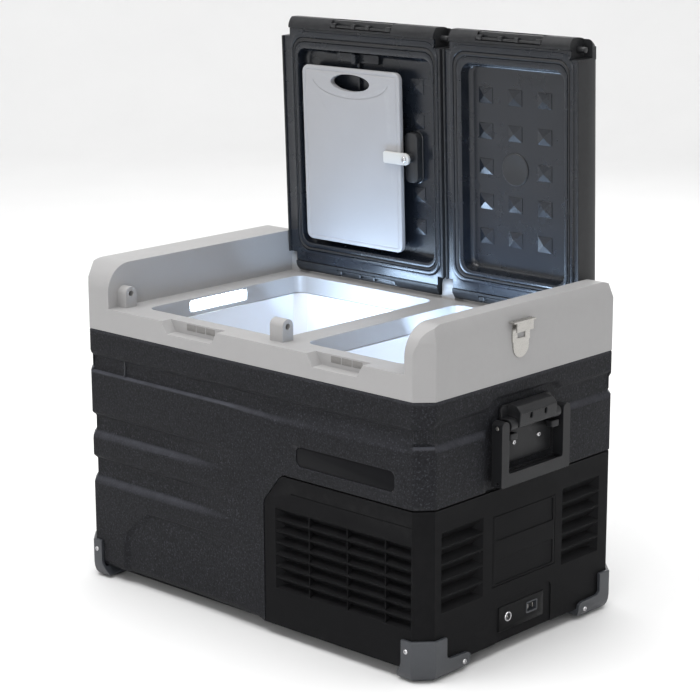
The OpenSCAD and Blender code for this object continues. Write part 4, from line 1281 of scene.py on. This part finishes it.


# ---- handles, painted latch slot shade and lamp ----

HANDLE_W = 143               # over both arms
HANDLE_X = (HALF_L + 1.5, HALF_L + 18.5)      # inner and outer face
HANDLE_LOW = 237             # underside of the grip
HANDLE_ARM = 15              # width of an arm
BRACKET_HALF = 38            # of the block between the handle's arms
KNUCKLE = 14                 # length of the knuckles at the block's ends


def carry_handle(label, flip):
    """Fold-down U with rounded tops that turn on the bracket's pins."""
    half = HANDLE_W / 2
    inner = half - HANDLE_ARM
    top = PIVOT_Z + 8.5
    bottom = HANDLE_LOW + 17
    outline = rounded(
        [(-half, HANDLE_LOW), (half, HANDLE_LOW), (half, top), (inner, top), (inner, bottom),
         (-inner, bottom), (-inner, top), (-half, top)],
        [2.5, 2.5, 7, 7, 3.5, 3.5, 7, 7], 6,
    )
    u = [(y + HANDLE_Y, z) for y, z in outline]
    piece = make(f"handle_{label}_grip", moved(outline_prism(u, HANDLE_X), ON_RIGHT), f"carry_handle_{label}",
                 "handle_plastic", replaces=[f"handle_{label}"], place=flip)
    x = (HANDLE_X[0] + HANDLE_X[1]) / 2
    cuts = []
    for y in (HANDLE_Y - half, HANDLE_Y + half):
        cuts.append(moved(turned([(0, 2.6), (60, 2.6)], 24), along_y(x, y - 30, PIVOT_Z)))
        cuts.append(moved(turned([(0, 2.2), (6, 2.2)], 20), along_y(x + 2, y - 3, HANDLE_LOW + 6)))
    low, high = bottom - 4, bottom + 6
    section = rounded([(-inner - 1, low), (inner + 1, low), (inner - 2, high), (-inner + 2, high)], 1.0)
    trough = outline_prism(section, (HANDLE_X[0] + 3, HANDLE_X[1] - 3.4))
    cuts.append(moved(trough, on_right(0, HANDLE_Y)))
    cut(piece, cuts, "DIFFERENCE", flip)
    add_bevel(piece, 1.2, 30, 3)


def bracket_block(label, flip):
    """Block between the handle's arms, with its two slots."""
    x, z = HALF_L, PIVOT_Z
    side_view = rounded(
        [(x - 1, z - 6), (x + 20, z - 4), (x + 22, z + 16), (x + 15, z + 23), (x - 1, z + 25)],
        [1, 3, 5, 6, 1],
    )
    upright = Matrix.Rotation(math.pi / 2, 4, "X")
    block = moved(outline_prism(side_view, (-BRACKET_HALF - HANDLE_Y, BRACKET_HALF - HANDLE_Y)), upright)
    piece = make(f"bracket_block_{label}", block, "cabinet", "handle_plastic", place=flip)
    cuts = []
    for v in (-15, 15):
        slot = rounded(rectangle((v - 2.4, v + 2.4), (z + 5, z + 13)), 2.3)
        cuts.append(moved(outline_prism(slot, (x + 14, x + 30)), on_right(0, HANDLE_Y)))
    cut(piece, cuts, "DIFFERENCE", flip)
    add_bevel(piece, 1.6, 35, 3)


def bracket_knuckles(label, flip):
    """Knuckles that carry the handle's pins, with a hook under each."""
    y, half = HANDLE_Y, BRACKET_HALF
    parts = []
    for s in (-1, 1):
        span_y = one_side(s, half, half + KNUCKLE, y)
        barrel = turned([(0, 7.4), (0.6, 8), (KNUCKLE - 0.6, 8), (KNUCKLE, 7.4)], 40)
        parts.append(moved(barrel, along_y(PIVOT_X, span_y[0], PIVOT_Z)))
        parts.append(soft_block((HALF_L - 1, PIVOT_X), span_y, (PIVOT_Z - 8, PIVOT_Z + 8), 1, 0.8))
        hook_y = one_side(s, half - 2, half + 13, y)
        parts.append(soft_block((HALF_L + 4, HALF_L + 16), hook_y, (PIVOT_Z - 20, PIVOT_Z - 11), 2, 1.2))
    make(f"bracket_knuckles_{label}", joined(*parts), "cabinet", "handle_plastic", place=flip)


def handle_bracket(label, flip):
    """Screwed base plate, block, knuckles and pins of a carry handle."""
    y = HANDLE_Y
    plate = soft_block((-52, 52), (262, PIVOT_Z + 24), (HALF_L - 3, HALF_L + 1), 6, 0.8)
    plate = moved(plate, on_right(0, y))
    base = make(f"bracket_base_{label}", plate, "cabinet", "handle_plastic", place=flip)
    bracket_block(label, flip)
    bracket_knuckles(label, flip)
    length = HANDLE_W / 2 - 19
    profile = [(0, 2.1), (0.4, 2.5), (length - 0.6, 2.5), (length, 1.9)]
    starts = (y - HANDLE_W / 2 - 1, y + 20)
    rods = [moved(turned(profile, 24), along_y(PIVOT_X, start, PIVOT_Z)) for start in starts]
    pins = make(f"handle_pins_{label}", joined(*rods), "cabinet", "bright_steel", place=flip)
    heads = [screw_head(along_x(HALF_L + 1, y + v, 287), SCREW_R) for v in (-26, 26)]
    screws = make(f"bracket_screws_{label}", joined(*heads), "cabinet", "screw_steel", place=flip)
    if label == "right":
        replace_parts(base, "handle_brackets")
        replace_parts(pins, "handle_pins")
        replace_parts(screws, "handle_screws")


def latch_slot_shade_plates():
    """Grey plates, darker than the frame, in the finger recesses of the top frame, front and rear: painted
    shade for the slots.
    """
    slots = []
    height = (393, 402)
    depth = (HALF_W - 17.5, HALF_W - 16.6)
    for middle in (-92, 178):
        for step in (-1, 0, 1):
            u = middle + 18.6 * step
            slots.append(soft_block((u - 8.6, u + 8.6), height, depth, 1, 0.3, 2))
    row = joined(*slots)
    both = joined(moved(row, ON_FRONT), moved(moved(row, MIRROR_X), ON_REAR))
    # Painted shade: thin plates standing proud of the recess wall, darker than the frame, take the place of
    # shaded slots.
    make("latch_slot_shade_plates", both, "cabinet", "frame_plastic", look="catch_grey")


def lamp_lens():
    """The lamp's moulded lens with its upright ribs."""
    low, high = span("led_lamp")
    wall = high.x - 0.6
    height = grown((low.z, high.z), -1.5)
    ribs = []
    for k in range(1, 15):
        y = (mix(low.y, high.y, k / 16) + 0.4, mix(low.y, high.y, (k + 1) / 16) - 0.4)
        ribs.append(soft_block((wall - 1, wall + 1.4), y, height, 0.6, 0.5, 2))
    lens = moved(soft_block((low.y, high.y), (low.z, high.z), (-2.6, 0.5), 5, 0.6), on_right(wall))
    make("lamp_lens", joined(lens, *ribs), "cabinet", "lamp_plastic", replaces=["led_lamp"])


# ---- the rest of the CAD nodes ----


def carried_nodes():
    """Looks of the CAD nodes that no piece replaces, with the widths of the edges that show."""
    replaced = {n for o in bpy.context.scene.objects for n in o.get("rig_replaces", [])}
    widths = {"top_frame": 1.8, "bottle_opener": 0.6, "control_panel": 0.8}
    for node in NODES:
        if node not in replaced:
            carried(node, widths.get(node, 0.0))


# ---- stage ----


def camera():
    """Camera fitted to the corners of the cabinet, the top frame and the lids."""
    data = bpy.data.cameras.new("camera")
    data.sensor_width = 36
    data.lens = 109.95
    heading, down, roll = 42.79, 13.75, -0.19
    made = linked("camera", data)
    made.location = (1.975, -2.122, 1.060)
    turn = Matrix.Rotation(math.radians(heading), 4, "Z") @ Matrix.Rotation(math.radians(90 - down), 4, "X")
    made.rotation_euler = (turn @ Matrix.Rotation(math.radians(roll), 4, "Z")).to_euler()
    bpy.context.scene.camera = made


def stage():
    """Pale floor that curves up into a round backdrop, under a plain white sky."""
    s = Surface("studio floor", 0.8, specular=0.1)
    patches = s.spread(s.noise(400, 3), 0.3, 0.7)
    material = s.finish(s.blend((0.74, 0.74, 0.74), (0.755, 0.755, 0.755), patches))
    flat, bend, top = 4200, 1600, 6200
    profile = [(0, 10), (0, flat)]
    turns = 12
    for k in range(1, turns + 1):
        a = math.pi / 2 * k / turns
        profile.append((bend * (1 - math.cos(a)), flat + bend * math.sin(a)))
    profile.append((top, flat + bend))
    verts, faces = loft([circle((0, 0), r, z, 96) for z, r in profile], ends=(True, False))
    mesh = bpy.data.meshes.new("floor")
    mesh.from_pydata([Vector(v) * MM for v in verts], [], faces)
    mesh.shade_smooth()
    mesh.materials.append(material)
    floor = linked("floor", mesh)
    world = bpy.data.worlds.new("studio")
    world.use_nodes = True
    sky = world.node_tree.nodes["Background"]
    sky.inputs["Color"].default_value = (1, 1, 1, 1)
    sky.inputs["Strength"].default_value = 0.16
    bpy.context.scene.world = world


def area_light(name, place, target, size, power, colour=(1, 1, 1)):
    """Rectangular light at a place, turned to a target; metres and watts."""
    data = bpy.data.lights.new(name, "AREA")
    data.shape = "RECTANGLE"
    data.size, data.size_y = size
    data.energy = power
    data.color = colour
    made = linked(name, data)
    made.location = place
    made.rotation_euler = (Vector(target) - Vector(place)).to_track_quat("-Z", "Y").to_euler()


def lights():
    """Soft light from above, fill from the front and rear, and the glow out of the compartments."""
    area_light("overhead", (0, 0, 5.2), (0, 0, 0), (6.5, 6.5), 430)
    area_light("key", (1.45, -2.75, 1.0), (0, 0, 0.3), (0.9, 0.9), 15)
    area_light("top_front", (-0.5, -1.5, 2.8), (0, -0.2, 0.2), (1.4, 0.5), 24)
    area_light("back", (-0.6, 3.0, 1.6), (0, 0, 0.4), (1.8, 1.2), 14)
    lamp = (0.55, 0.74, 1.0)
    area_light("small_lamp", (0.252, -0.02, 0.39), (0.0, -0.02, 0.30), (0.08, 0.012), 0.1, lamp)
    area_light("large_spill", (-0.10, 0.04, 0.37), (-0.06, 0.19, 0.47), (0.12, 0.05), 0.6, lamp)
    area_light("small_spill", (0.165, 0.04, 0.37), (0.17, 0.19, 0.47), (0.08, 0.05), 0.75, lamp)


camera()
stage()
lights()
shell_body()
cover_body()
for lid_side in LIDS:
    lid_shell(lid_side)
    lid_liner(lid_side)
    lid_seal(lid_side)
lid_studs()
board()
clip()
board_hooks()
lid_pins()
latches()
groove_stop()
badge()
battery_door()
sockets()
guards()
for end_name, end_flip in (("right", SAME), ("left", MIRROR_X)):
    carry_handle(end_name, end_flip)
    handle_bracket(end_name, end_flip)
latch_slot_shade_plates()
lamp_lens()
carried_nodes()
bpy.context.scene.view_settings.view_transform = "Standard"
